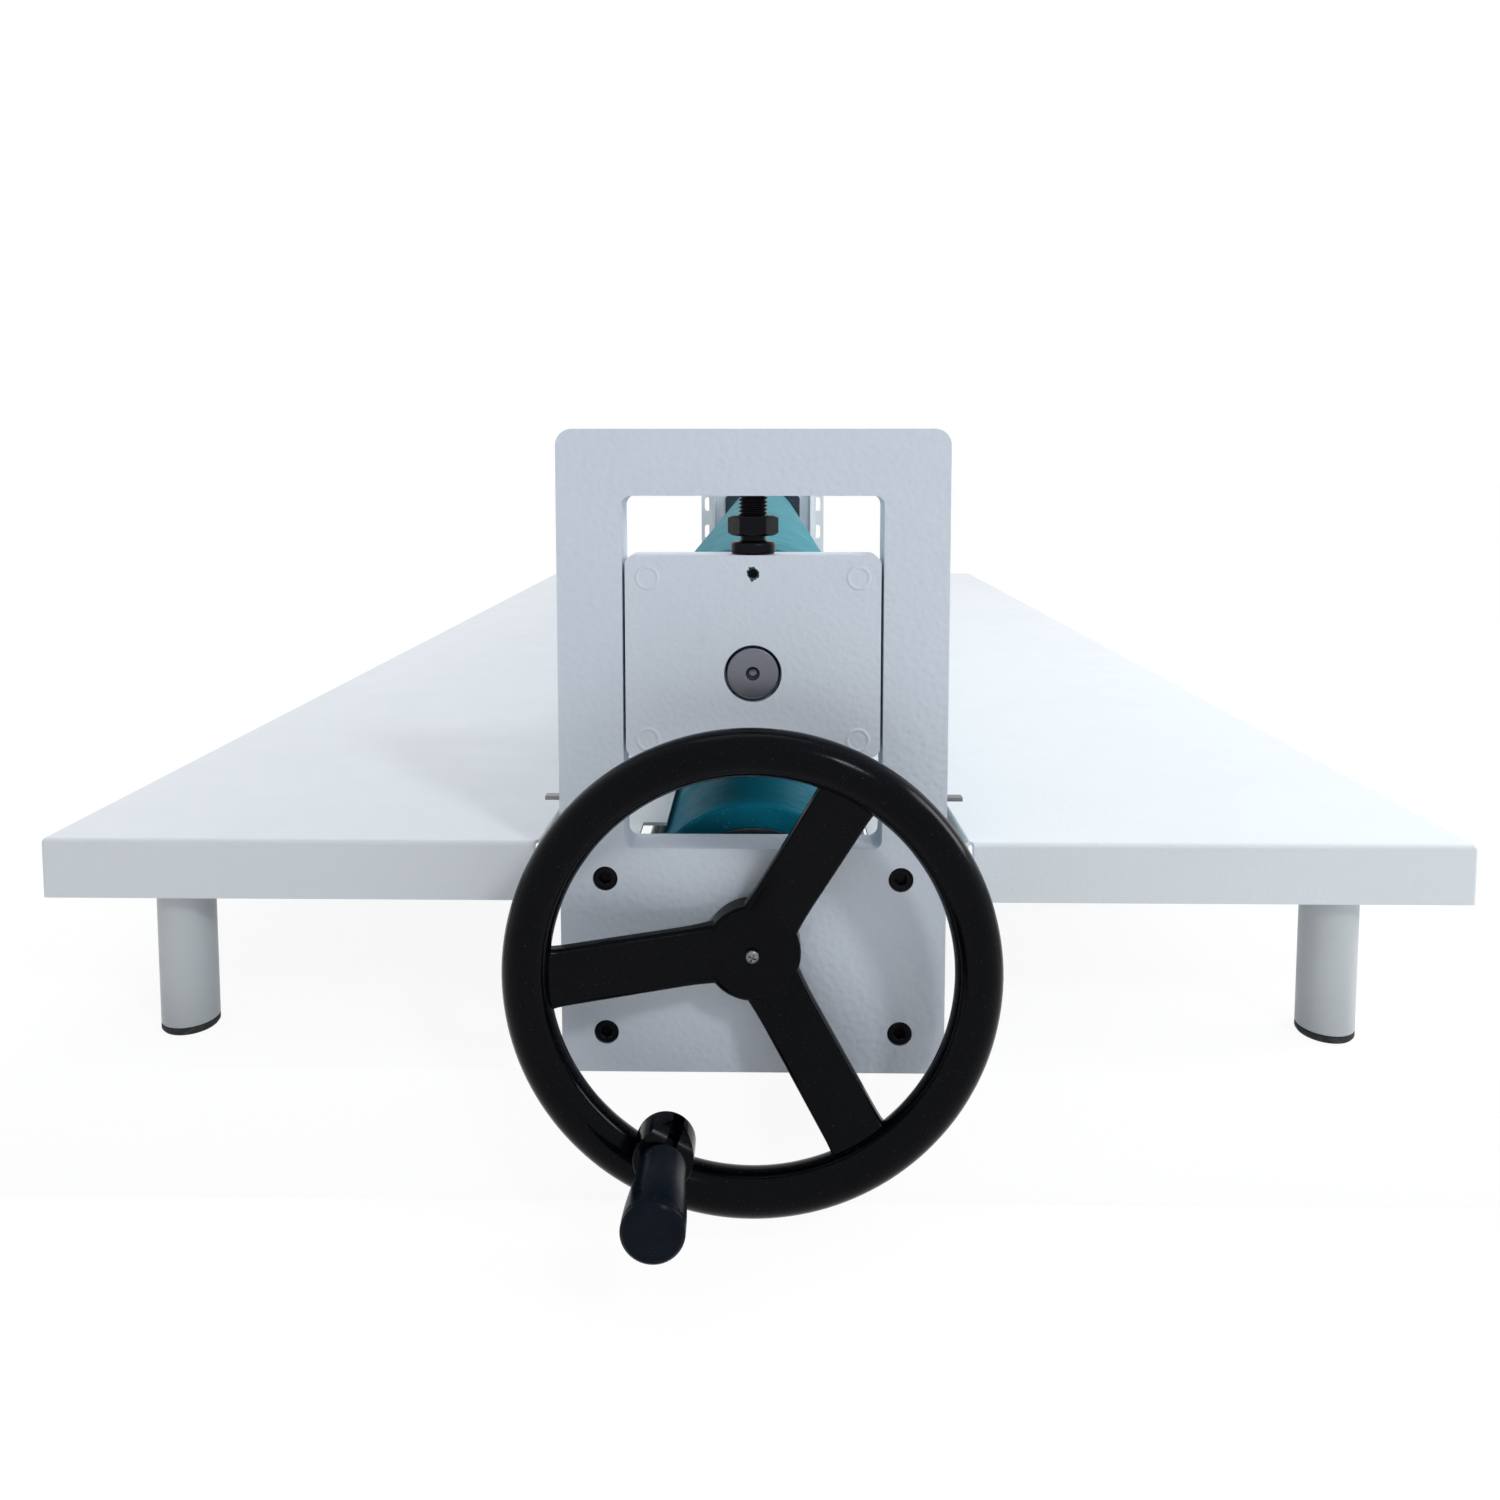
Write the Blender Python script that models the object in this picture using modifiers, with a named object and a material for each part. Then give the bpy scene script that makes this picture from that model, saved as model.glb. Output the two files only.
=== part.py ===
"""Hand-cranked two-roller press with feed tables, as separate named solids.

Frame: +Z up, rollers along Y, operator and handwheel at -Y. The origin is the middle of the
underside of the near end plate. All sizes are in metres.
"""
import math

import bmesh
import bpy
from mathutils import Vector

# ---- Driving dimensions -------------------------------------------------------------------
GAP = 0.0003                # between faces that touch on the real press
RUNNING = 0.0015            # between pieces that slide past each other in the open

ROLLER_FACE = 1.600         # rubber length
ROLLER_D = 0.132
ROLLER_TUBE_D = 0.104
ROLLER_TUBE_WALL = 0.006
ROLLER_CHAMFER = 0.0025
JOURNAL_D = 0.028
JOURNAL_PLUG_L = 0.030
ROLLER_FLOOR_GAP = 0.009    # between the lower roller and the bench
NIP_OPEN = 0.015

SIDE_BAR_W = 0.035          # end plate beside its window
PLATE_T = 0.025
PLATE_CORNER_R = 0.009
PLATE_EDGE_R = 0.0015
PLATE_TO_ROLLER = 0.008
WINDOW_W = 0.140
SILL_ABOVE_TIE = 0.017      # window sill above the upper tie bars' axis
TOP_BAR_H = 0.0355
WINDOW_CORNER_R = 0.005

TIE_BESIDE_ROLLER = 0.0145  # tie-bar axis outside the roller's side
TIE_LOW_DROP = 0.0525       # below the lower roller's axis
TIE_HIGH_RISE = 0.034       # above the lower roller's axis
TIE_BAR_D = 0.0194
TIE_BOLT_D = 0.008
TIE_BOLT_HEAD_D = 0.013
TIE_BOLT_HEAD_L = 0.008
TIE_BOLT_GRIP = 0.026       # thread length inside the tie bar
BOLT_SOCKET_AF = 0.006
BOLT_SOCKET_DEPTH = 0.004

BEARING_D = 0.055
BEARING_W = 0.015
COVER_D = 0.074
COVER_T = 0.004

BLOCK_H = 0.109
BLOCK_BELOW_AXIS = 0.0452
BLOCK_CORNER_R = 0.005
KEEPER_OVERLAP = 0.003      # how far the keeper reaches behind each side of the window
KEEPER_T = 0.0055
KEEPER_CORNER_R = 0.006
KEEPER_TOP_DROP = 0.012

SCREW_D = 0.016
SCREW_HEADROOM = 0.0317     # between the block and the window's top
SCREW_BELOW_TOP = 0.012     # screw end below the plate's top edge
SCREW_FOOT_D = 0.0244
SCREW_FOOT_H = 0.0065
SCREW_NECK_D = 0.0145
SCREW_NECK_H = 0.0033
SCREW_TIP_D = 0.012
SCREW_TIP_L = 0.018
SCREW_SOCKET_AF = 0.008
SCREW_SOCKET_DEPTH = 0.008
NUT_AF = 0.024
NUT_H = 0.0108
NUT_CHAMFER = 0.0015
GRUB_D = 0.005
GRUB_L = 0.004
GRUB_BELOW_TOP = 0.0099

TABLE_T = 0.002
TABLE_HALF_W = 0.408
TABLE_FLANGE_H = 0.0345
TABLE_ROLLER_GAP = 0.0028   # between the table's underside edge and the lower roller
TABLE_NOTCH_W = 0.014
TABLE_NOTCH_L = 0.035
TABLE_SLOT_W = 0.014
TABLE_SLOT_PAST = 0.015     # slot's outer side past the plate's edge
TABLE_SLOT_L = 0.100
TABLE_END_GAP = 0.001

LEG_D = 0.032
LEG_WALL = 0.002
LEG_X = 0.337
LEG_INSET = 0.0245          # leg axis behind the table's end edge
LEG_FLANGE_D = 0.0436
LEG_FLANGE_T = 0.003
FOOT_D = 0.032
FOOT_T = 0.0045
FOOT_EDGE = 0.0008
FOOT_PLUG_L = 0.011          # spigot inside the tube

WHEEL_D = 0.255
RIM_D = 0.0243
RIM_AHEAD = 0.0428          # rim centre in front of the near end plate
HUB_D = 0.0518
HUB_AHEAD = 0.0197          # hub front face in front of the near end plate
HUB_PLATE_GAP = 0.002
HUB_FRONT_WALL = 0.0045
SPOKE_W = 0.0305
SPOKE_T = 0.009
SPOKE_BEVEL = 0.002
SPOKE_COUNT = 3
FIRST_SPOKE_DEG = 62.0
HUB_SCREW_D = 0.005
HUB_SCREW_L = 0.014
HUB_SCREW_HEAD_D = 0.0075
HUB_SCREW_HEAD_H = 0.003
KEY_W = 0.008
KEY_H = 0.007
KEY_L = 0.010

HANDLE_DEG = -117.0
HANDLE_INSET = 0.0189       # boss axis inside the rim's centre line
BOSS_D = 0.0306
BOSS_L = 0.022
PIVOT_AHEAD = 0.0498        # fold axis in front of the near end plate
PIVOT_PIN_D = 0.004
PIVOT_PIN_SHORT = 0.0015    # each pin end below the boss's side
TONGUE_T = 0.0056           # flat tongue in the boss's slot
TONGUE_W = 0.0068
TONGUE_INSIDE = 0.008       # tongue's end inside the spindle
GRIP_CLEAR = 0.0009         # between the boss's round nose and the grip
GRIP_L = 0.053
GRIP_REAR_D = 0.024
GRIP_FRONT_D = 0.030
GRIP_REAR_R = 0.003
SPINDLE_D = 0.009
SPINDLE_HEAD_D = 0.013
SPINDLE_HEAD_H = 0.003
CAP_T = 0.004

CLIP_T = 0.0022
CLIP_REACH = 0.0127         # past the plate's edge
CLIP_LEG_REACH = 0.002      # behind the plate's edge
CLIP_DEPTH = 0.006
CLIP_H = 0.0263             # above the table

UPRIGHT_BEHIND = 0.012      # inner edge inside the plate's edge
UPRIGHT_REACH = 0.015       # outer edge past the plate's edge
UPRIGHT_T = 0.0025
UPRIGHT_RIB = 0.012
UPRIGHT_BELOW_TOP = 0.010   # below the plate's top edge
SLOT_W = 0.012
SLOT_L = 0.027
SLOT_PITCH = 0.054
SLOT_FIRST_RISE = 0.0285    # middle of the lowest slot above the table

# ---- Sizes worked out from the driving dimensions -------------------------------------------
LOWER_AXIS_Z = ROLLER_D / 2 + ROLLER_FLOOR_GAP
UPPER_AXIS_Z = LOWER_AXIS_Z + ROLLER_D + NIP_OPEN
SHAFT_HOLE_D = JOURNAL_D + 2 * RUNNING
TIE_X = ROLLER_D / 2 + TIE_BESIDE_ROLLER
TIE_LOW_Z = LOWER_AXIS_Z - TIE_LOW_DROP
TIE_HIGH_Z = LOWER_AXIS_Z + TIE_HIGH_RISE
PLATE_SPAN = ROLLER_FACE + 2 * PLATE_TO_ROLLER + PLATE_T      # between the plates' middles
MIDDLE_Y = PLATE_SPAN / 2
ROLLER_END_Y = PLATE_T / 2 + PLATE_TO_ROLLER
BLOCK_W = WINDOW_W - 2 * RUNNING
BLOCK_BOTTOM_Z = UPPER_AXIS_Z - BLOCK_BELOW_AXIS
BLOCK_TOP_Z = BLOCK_BOTTOM_Z + BLOCK_H
SILL_Z = TIE_HIGH_Z + SILL_ABOVE_TIE
WINDOW_TOP_Z = BLOCK_TOP_Z + SCREW_HEADROOM
PLATE_H = WINDOW_TOP_Z + TOP_BAR_H
PLATE_W = WINDOW_W + 2 * SIDE_BAR_W
SCREW_TOP_Z = PLATE_H - SCREW_BELOW_TOP
BEARING_POCKET_D = BEARING_D + 2 * GAP
BEARING_POCKET_DEPTH = BEARING_W + 2 * GAP
TABLE_BACK_Y = PLATE_T / 2 + TABLE_END_GAP
TABLE_UNDER_Z = TIE_HIGH_Z + TIE_BAR_D / 2 + GAP
TABLE_TOP_Z = TABLE_UNDER_Z + TABLE_T
TABLE_INNER_X = TABLE_ROLLER_GAP + math.sqrt(
    (ROLLER_D / 2) ** 2 - (TABLE_UNDER_Z - LOWER_AXIS_Z) ** 2)
TABLE_SLOT_X = PLATE_W / 2 + TABLE_SLOT_PAST
CLIP_TIP_X = PLATE_W / 2 + CLIP_REACH
CLIP_LEG_TIP_X = PLATE_W / 2 - CLIP_LEG_REACH
CLIP_TOP_Z = TABLE_TOP_Z + CLIP_H
UPRIGHT_INNER_X = PLATE_W / 2 - UPRIGHT_BEHIND
UPRIGHT_OUTER_X = PLATE_W / 2 + UPRIGHT_REACH
UPRIGHT_TOP_Z = PLATE_H - UPRIGHT_BELOW_TOP
SLOT_FIRST_Z = TABLE_TOP_Z + SLOT_FIRST_RISE
RIM_Y = -PLATE_T / 2 - RIM_AHEAD
RIM_CENTRE_R = (WHEEL_D - RIM_D) / 2
HANDLE_R = RIM_CENTRE_R - HANDLE_INSET
HUB_FRONT_Y = -PLATE_T / 2 - HUB_AHEAD
HUB_BACK_Y = -PLATE_T / 2 - HUB_PLATE_GAP
DRIVE_END_Y = HUB_FRONT_Y + HUB_FRONT_WALL + GAP
NOSE_R = BOSS_D / 2
PIVOT_Y = -PLATE_T / 2 - PIVOT_AHEAD
BOSS_FACE_Y = PIVOT_Y - NOSE_R
GRIP_START = NOSE_R + GRIP_CLEAR        # from the fold axis

ROUND = 28                  # sides of large round pieces
SMALL_ROUND = 16            # sides of small round pieces
RIM_STEPS = 48              # steps round the handwheel's rim
RIM_SIDES = 10              # sides of the rim's tube
CUT_PAST = 0.002            # how far a cutter runs past the face it opens


# ---- Scene and materials --------------------------------------------------------------------
def clear_scene():
    for item in list(bpy.data.objects):
        bpy.data.objects.remove(item, do_unlink=True)


def new_collection(name):
    collection = bpy.data.collections.new(name)
    bpy.context.scene.collection.children.link(collection)
    return collection


def new_material(name, colour, roughness, metallic=0.0):
    material = bpy.data.materials.new(name)
    material.use_nodes = True
    shader = material.node_tree.nodes["Principled BSDF"]
    shader.inputs["Base Color"].default_value = (*colour, 1.0)
    shader.inputs["Roughness"].default_value = roughness
    shader.inputs["Metallic"].default_value = metallic
    return material


clear_scene()
PARTS = new_collection("roller_press")
CUTTERS = new_collection("cutters")

FRAME_PAINT = new_material("frame_paint", (0.55, 0.60, 0.66), 0.55)
TABLE_PAINT = new_material("table_paint", (0.80, 0.83, 0.84), 0.45)
RUBBER = new_material("roller_rubber", (0.03, 0.30, 0.36), 0.60)
STEEL = new_material("bright_steel", (0.45, 0.46, 0.47), 0.35, 1.0)
DARK_STEEL = new_material("dark_steel", (0.10, 0.13, 0.17), 0.50, 0.6)
BLACK_STEEL = new_material("black_oxide_steel", (0.015, 0.015, 0.017), 0.45, 0.7)
BLACK_PLASTIC = new_material("black_plastic", (0.010, 0.010, 0.012), 0.22)
FOOT_RUBBER = new_material("foot_rubber", (0.02, 0.02, 0.02), 0.80)


# ---- Modelling helpers ------------------------------------------------------------------------
def add_object(name, data, material=None, location=(0, 0, 0), parent=None, rotation=(0, 0, 0)):
    item = bpy.data.objects.new(name, data)
    item.location = location
    item.rotation_euler = rotation
    item.parent = parent
    if material is None:
        CUTTERS.objects.link(item)
        item.hide_render = True
        item.display_type = 'WIRE'
    else:
        PARTS.objects.link(item)
        data.materials.append(material)
    return item


def add_empty(name, location, parent=None, rotation=(0, 0, 0)):
    empty = bpy.data.objects.new(name, None)
    empty.location = location
    empty.rotation_euler = rotation
    empty.parent = parent
    PARTS.objects.link(empty)
    return empty


def mesh_from(bm, name):
    mesh = bpy.data.meshes.new(name)
    bmesh.ops.recalc_face_normals(bm, faces=bm.faces)
    bm.to_mesh(mesh)
    bm.free()
    return mesh


def box(name, low, high, material=None, parent=None):
    """A box between two corners, in its parent's frame."""
    low, high = Vector(low), Vector(high)
    bm = bmesh.new()
    bmesh.ops.create_cube(bm, size=1.0)
    bmesh.ops.scale(bm, vec=high - low, verts=bm.verts)
    return add_object(name, mesh_from(bm, name), material, (low + high) / 2, parent)


ALONG = {'X': (0, math.pi / 2, 0), 'Y': (-math.pi / 2, 0, 0), 'Z': (0, 0, 0)}


def rod(name, diameter, start, end, axis='Y', material=None, parent=None, at=(0, 0), sides=SMALL_ROUND):
    """A cylinder from start to end along an axis; at holds its other two coordinates."""
    bm = bmesh.new()
    bmesh.ops.create_cone(bm, cap_ends=True, segments=sides, radius1=diameter / 2,
                          radius2=diameter / 2, depth=end - start)
    mesh = mesh_from(bm, name)
    mesh.shade_smooth()
    mesh.set_sharp_from_angle(angle=math.radians(40))
    middle = list(at)
    middle.insert('XYZ'.index(axis), (start + end) / 2)
    return add_object(name, mesh, material, middle, parent, ALONG[axis])


def turned(name, profile, material=None, location=(0, 0, 0), parent=None, axis='Y', sides=ROUND,
           ring=False):
    """A turned shape. The profile holds (radius, height) down the outer side, highest first."""
    mesh = bpy.data.meshes.new(name)
    edges = [(i, i + 1) for i in range(len(profile) - 1)]
    if ring:
        edges.append((len(profile) - 1, 0))
    mesh.from_pydata([(radius, 0, height) for radius, height in profile], edges, [])
    item = add_object(name, mesh, material, location, parent, ALONG[axis])
    screw = item.modifiers.new("turn", 'SCREW')
    screw.steps = screw.render_steps = sides
    screw.use_merge_vertices = True
    screw.merge_threshold = 0.00001
    screw.use_normal_calculate = False
    return item


def ring_profile(outer_d, inner_d, low, high):
    return [(outer_d / 2, high), (outer_d / 2, low), (inner_d / 2, low), (inner_d / 2, high)]


def rounded_plate(name, low, high, radius, material=None, parent=None, steps=6):
    """A plate lying across Y with its four corners rounded, between two corners."""
    x_low, y_low, z_low = low
    x_high, y_high, z_high = high
    bm = bmesh.new()
    points = []
    corners = ((x_high, z_high, 0), (x_low, z_high, 90), (x_low, z_low, 180), (x_high, z_low, 270))
    for x, z, start in corners:
        centre_x = x - math.copysign(radius, x - (x_low + x_high) / 2)
        centre_z = z - math.copysign(radius, z - (z_low + z_high) / 2)
        for step in range(steps + 1):
            angle = math.radians(start + 90 * step / steps)
            points.append((centre_x + radius * math.cos(angle), y_low,
                           centre_z + radius * math.sin(angle)))
    face = bm.faces.new([bm.verts.new(point) for point in points])
    swept = bmesh.ops.extrude_face_region(bm, geom=[face])
    moved = [item for item in swept["geom"] if isinstance(item, bmesh.types.BMVert)]
    bmesh.ops.translate(bm, vec=(0, y_high - y_low, 0), verts=moved)
    return add_object(name, mesh_from(bm, name), material, (0, 0, 0), parent)


def boolean(item, other, operation):
    modifier = item.modifiers.new(operation.lower(), 'BOOLEAN')
    modifier.operation = operation
    modifier.object = other


def cut(item, *cutters):
    for cutter in cutters:
        boolean(item, cutter, 'DIFFERENCE')


def join(item, *others):
    for other in others:
        boolean(item, other, 'UNION')


def round_edges(item, width, segments=1, angle=50):
    bevel = item.modifiers.new("edges", 'BEVEL')
    bevel.width = width
    bevel.segments = segments
    bevel.limit_method = 'ANGLE'
    bevel.angle_limit = math.radians(angle)


def hexagon(name, across_flats, start, end, axis, parent=None, at=(0, 0), material=None):
    corner_d = across_flats / math.cos(math.pi / 6)
    item = rod(name, corner_d, start, end, axis, material, parent, at, sides=6)
    item.data.shade_flat()
    return item


ENDS = (("near", 0.0, 1), ("far", PLATE_SPAN, -1))       # name, plate middle, direction inwards
SIDES = (("left", -1), ("right", 1))


# ---- Frame --------------------------------------------------------------------------------------
def end_plate(end, y, inward):
    """Thick plate with the block window, a bearing pocket, four counterbores and a tapped hole."""
    holder = add_empty(end + "_plate_centre", (0, y, 0))
    name = end + "_end_plate"
    plate = rounded_plate(name, (-PLATE_W / 2, -PLATE_T / 2, 0), (PLATE_W / 2, PLATE_T / 2, PLATE_H),
                          PLATE_CORNER_R, FRAME_PAINT, holder)
    round_edges(plate, PLATE_EDGE_R)
    back = inward * PLATE_T / 2
    front = -back
    cut(plate, rounded_plate(name + "_window", (-WINDOW_W / 2, -PLATE_T, SILL_Z),
                             (WINDOW_W / 2, PLATE_T, WINDOW_TOP_Z), WINDOW_CORNER_R, parent=holder, steps=3))
    pocket_end = back - inward * BEARING_POCKET_DEPTH
    cut(plate, rod(name + "_pocket", BEARING_POCKET_D, *sorted((pocket_end, back + inward * CUT_PAST)),
                   parent=holder, at=(0, LOWER_AXIS_Z), sides=ROUND))
    cut(plate, rod(name + "_shaft_hole", SHAFT_HOLE_D, -PLATE_T, PLATE_T, parent=holder,
                   at=(0, LOWER_AXIS_Z), sides=ROUND))
    cut(plate, rod(name + "_screw_hole", SCREW_D + 2 * GAP, WINDOW_TOP_Z - CUT_PAST, PLATE_H + CUT_PAST,
                   'Z', parent=holder))
    for side, sign in SIDES:
        for level, z in (("low", TIE_LOW_Z), ("high", TIE_HIGH_Z)):
            at = (sign * TIE_X, z)
            tag = "_".join((name, side, level))
            cut(plate, rod(tag + "_hole", TIE_BOLT_D + 2 * GAP, -PLATE_T, PLATE_T, parent=holder, at=at))
            floor = front + inward * (TIE_BOLT_HEAD_L + GAP)
            cut(plate, rod(tag + "_counterbore", TIE_BOLT_HEAD_D + 2 * GAP,
                           *sorted((floor, front - inward * CUT_PAST)), parent=holder, at=at))
            tie_bolt("_".join((end, side, level, "tie_bolt")), front, inward, at, holder)


def tie_bolt(name, face, inward, at, holder):
    """Socket-head bolt whose head sits in the counterbore, pointing into the tie bar."""
    under_head = face + inward * TIE_BOLT_HEAD_L
    tip = inward * (PLATE_T / 2 + TIE_BOLT_GRIP)
    bolt = rod(name, TIE_BOLT_HEAD_D, *sorted((face, under_head)), material=BLACK_STEEL, parent=holder,
               at=at)
    join(bolt, rod(name + "_shank", TIE_BOLT_D, *sorted((face + inward * TIE_BOLT_HEAD_L / 2, tip)),
                   parent=holder, at=at))
    cut(bolt, hexagon(name + "_socket", BOLT_SOCKET_AF,
                      *sorted((face - inward * CUT_PAST, face + inward * BOLT_SOCKET_DEPTH)),
                      'Y', holder, at))


def tie_bars():
    start = PLATE_T / 2 + GAP
    end = PLATE_SPAN - start
    depth = TIE_BOLT_GRIP + GAP
    for side, sign in SIDES:
        for level, z in (("low", TIE_LOW_Z), ("high", TIE_HIGH_Z)):
            name = "_".join((side, level, "tie_bar"))
            at = (sign * TIE_X, z)
            bar = rod(name, TIE_BAR_D, start, end, material=STEEL, at=at, sides=24)
            for tag, low, high in (("_near_thread", start - CUT_PAST, start + depth),
                                   ("_far_thread", end - depth, end + CUT_PAST)):
                cut(bar, rod(name + tag, TIE_BOLT_D + 2 * GAP, low, high, at=at))


# ---- Rollers and their bearings ---------------------------------------------------------------
def roller(level, holder):
    """Steel tube with a rubber sleeve. The holder lies on the roller's axis, at its middle."""
    half = ROLLER_FACE / 2
    turned(level + "_roller_tube", ring_profile(ROLLER_TUBE_D, ROLLER_TUBE_D - 2 * ROLLER_TUBE_WALL,
                                                -half, half), STEEL, parent=holder, ring=True)
    bore = ROLLER_TUBE_D / 2 + GAP
    outer = ROLLER_D / 2
    profile = [(outer - ROLLER_CHAMFER, half), (outer, half - ROLLER_CHAMFER),
               (outer, -half + ROLLER_CHAMFER), (outer - ROLLER_CHAMFER, -half), (bore, -half), (bore, half)]
    turned(level + "_roller_sleeve", profile, RUBBER, parent=holder, ring=True, sides=40)


def journal(name, holder, inward, reach):
    """End plug of a roller with its journal, reaching outwards from the roller's end face."""
    face = -inward * ROLLER_FACE / 2
    plug_r = ROLLER_TUBE_D / 2 - ROLLER_TUBE_WALL - GAP
    journal_r = JOURNAL_D / 2
    chamfer = ROLLER_CHAMFER / 4
    heights = [(0, reach), (journal_r - chamfer, reach), (journal_r, reach - chamfer), (journal_r, 0),
               (plug_r, 0), (plug_r, -JOURNAL_PLUG_L), (0, -JOURNAL_PLUG_L)]
    if inward > 0:
        profile = [(radius, face - height) for radius, height in reversed(heights)]
    else:
        profile = [(radius, face + height) for radius, height in heights]
    return turned(name, profile, STEEL, parent=holder)


def bearing(name, y, inward, z, parent=None):
    """Sealed ball bearing in a pocket that opens inwards; y is the middle of its plate."""
    back = y + inward * (PLATE_T / 2 - GAP)
    low, high = sorted((back, back - inward * BEARING_W))
    profile = ring_profile(BEARING_D, JOURNAL_D + 2 * GAP, 0, high - low)
    turned(name, profile, STEEL, (0, low, z), parent, ring=True)


def lower_roller():
    holder = add_empty("lower_roller_axis", (0, MIDDLE_Y, LOWER_AXIS_Z))
    roller("lower", holder)
    drive_reach = ROLLER_END_Y - DRIVE_END_Y
    drive = journal("lower_near_journal", holder, 1, drive_reach)
    end = DRIVE_END_Y - MIDDLE_Y
    cut(drive, rod("drive_screw_hole", HUB_SCREW_D + 2 * GAP, end - CUT_PAST, end + HUB_SCREW_L,
                   parent=holder))
    journal("lower_far_journal", holder, -1, PLATE_TO_ROLLER + PLATE_T - RUNNING)
    for end_name, y, inward in ENDS:
        bearing(end_name + "_lower_bearing", y, inward, LOWER_AXIS_Z)
        back = y + inward * (PLATE_T / 2 + GAP)
        cover = ring_profile(COVER_D, JOURNAL_D + 2 * RUNNING, *sorted((back, back + inward * COVER_T)))
        turned(end_name + "_lower_bearing_cover", cover, DARK_STEEL, (0, 0, LOWER_AXIS_Z), ring=True)
    return drive


# ---- Upper roller, its sliding blocks and press screws ---------------------------------------
def bearing_block(end, y, inward):
    """Block in the window, flush with the plate, with its bearing pocket on the inner side."""
    holder = add_empty(end + "_block_centre", (0, y, UPPER_AXIS_Z))
    name = end + "_bearing_block"
    low_z, high_z = -BLOCK_BELOW_AXIS, BLOCK_H - BLOCK_BELOW_AXIS
    block = rounded_plate(name, (-BLOCK_W / 2, -PLATE_T / 2, low_z), (BLOCK_W / 2, PLATE_T / 2, high_z),
                          BLOCK_CORNER_R, FRAME_PAINT, holder)
    round_edges(block, PLATE_EDGE_R)
    back = inward * PLATE_T / 2
    cut(block, rod(name + "_pocket", BEARING_POCKET_D,
                   *sorted((back - inward * BEARING_POCKET_DEPTH, back + inward * CUT_PAST)),
                   parent=holder, sides=ROUND))
    cut(block, rod(name + "_shaft_hole", SHAFT_HOLE_D, -PLATE_T, PLATE_T, parent=holder, sides=ROUND))
    cut(block, rod(name + "_tip_hole", SCREW_TIP_D + 2 * GAP, high_z - SCREW_TIP_L - GAP,
                   high_z + CUT_PAST, 'Z', parent=holder))
    grub_z = high_z - GRUB_BELOW_TOP
    cut(block, rod(name + "_grub_hole", GRUB_D + 2 * GAP, *sorted((-back * 2, 0)), parent=holder,
                   at=(0, grub_z)))
    grub_end = -inward * (SCREW_TIP_D / 2 + GAP)
    grub = rod(end + "_grub_screw", GRUB_D, *sorted((grub_end - inward * GRUB_L, grub_end)),
               material=BLACK_STEEL, parent=holder, at=(0, grub_z))
    socket_floor = grub_end - inward * GRUB_L / 2
    cut(grub, hexagon(end + "_grub_socket", GRUB_D / 2,
                      *sorted((socket_floor, grub_end - inward * (GRUB_L + CUT_PAST))), 'Y', holder,
                      (0, grub_z)))
    keeper_front = inward * (PLATE_T / 2 + GAP)
    keeper_y = sorted((keeper_front, keeper_front + inward * KEEPER_T))
    keeper_half = WINDOW_W / 2 + KEEPER_OVERLAP
    keeper = rounded_plate(end + "_block_keeper", (-keeper_half, keeper_y[0], low_z),
                           (keeper_half, keeper_y[1], high_z - KEEPER_TOP_DROP), KEEPER_CORNER_R,
                           DARK_STEEL, holder)
    cut(keeper, rod(end + "_keeper_hole", JOURNAL_D + 2 * RUNNING, -PLATE_T * 2, PLATE_T * 2,
                    parent=holder, sides=ROUND))
    bearing(end + "_upper_bearing", 0, inward, 0, holder)


def press_screw(end, y):
    """Press screw with its foot on the block, its tip inside it, and the lock nut."""
    holder = add_empty(end + "_screw_axis", (0, y, BLOCK_TOP_Z))
    top = SCREW_TOP_Z - BLOCK_TOP_Z
    neck = GAP + SCREW_FOOT_H
    thread = neck + SCREW_NECK_H
    chamfer = SCREW_D / 16
    soft = SCREW_FOOT_H / 5
    profile = [(0, top), (SCREW_D / 2 - chamfer, top), (SCREW_D / 2, top - chamfer), (SCREW_D / 2, thread),
               (SCREW_NECK_D / 2, thread), (SCREW_NECK_D / 2, neck), (SCREW_FOOT_D / 2 - soft, neck),
               (SCREW_FOOT_D / 2, neck - soft), (SCREW_FOOT_D / 2, GAP + soft),
               (SCREW_FOOT_D / 2 - soft, GAP), (SCREW_TIP_D / 2, GAP), (SCREW_TIP_D / 2, -SCREW_TIP_L + GAP),
               (0, -SCREW_TIP_L + GAP)]
    screw = turned(end + "_press_screw", profile, BLACK_STEEL, parent=holder, axis='Z', sides=20)
    cut(screw, hexagon(end + "_screw_socket", SCREW_SOCKET_AF, top - SCREW_SOCKET_DEPTH, top + CUT_PAST,
                       'Z', holder))
    nut = hexagon(end + "_lock_nut", NUT_AF, thread, thread + NUT_H, 'Z', holder, material=BLACK_STEEL)
    round_edges(nut, NUT_CHAMFER, angle=80)
    cut(nut, rod(end + "_nut_thread", SCREW_D + 2 * GAP, thread - CUT_PAST, thread + NUT_H + CUT_PAST, 'Z',
                 parent=holder, sides=24))


def upper_roller():
    holder = add_empty("upper_roller_axis", (0, MIDDLE_Y, UPPER_AXIS_Z))
    roller("upper", holder)
    for end, y, inward in ENDS:
        shaft = journal("upper_" + end + "_journal", holder, inward, PLATE_TO_ROLLER + PLATE_T - RUNNING / 2)
        face = -inward * (ROLLER_FACE / 2 + PLATE_TO_ROLLER + PLATE_T)
        drill_d, drill_depth = JOURNAL_D / 5, JOURNAL_D / 4
        cut(shaft, rod(end + "_centre_drilling", drill_d, *sorted((face, face + inward * drill_depth)),
                       parent=holder))
        bearing_block(end, y, inward)
        press_screw(end, y)


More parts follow.
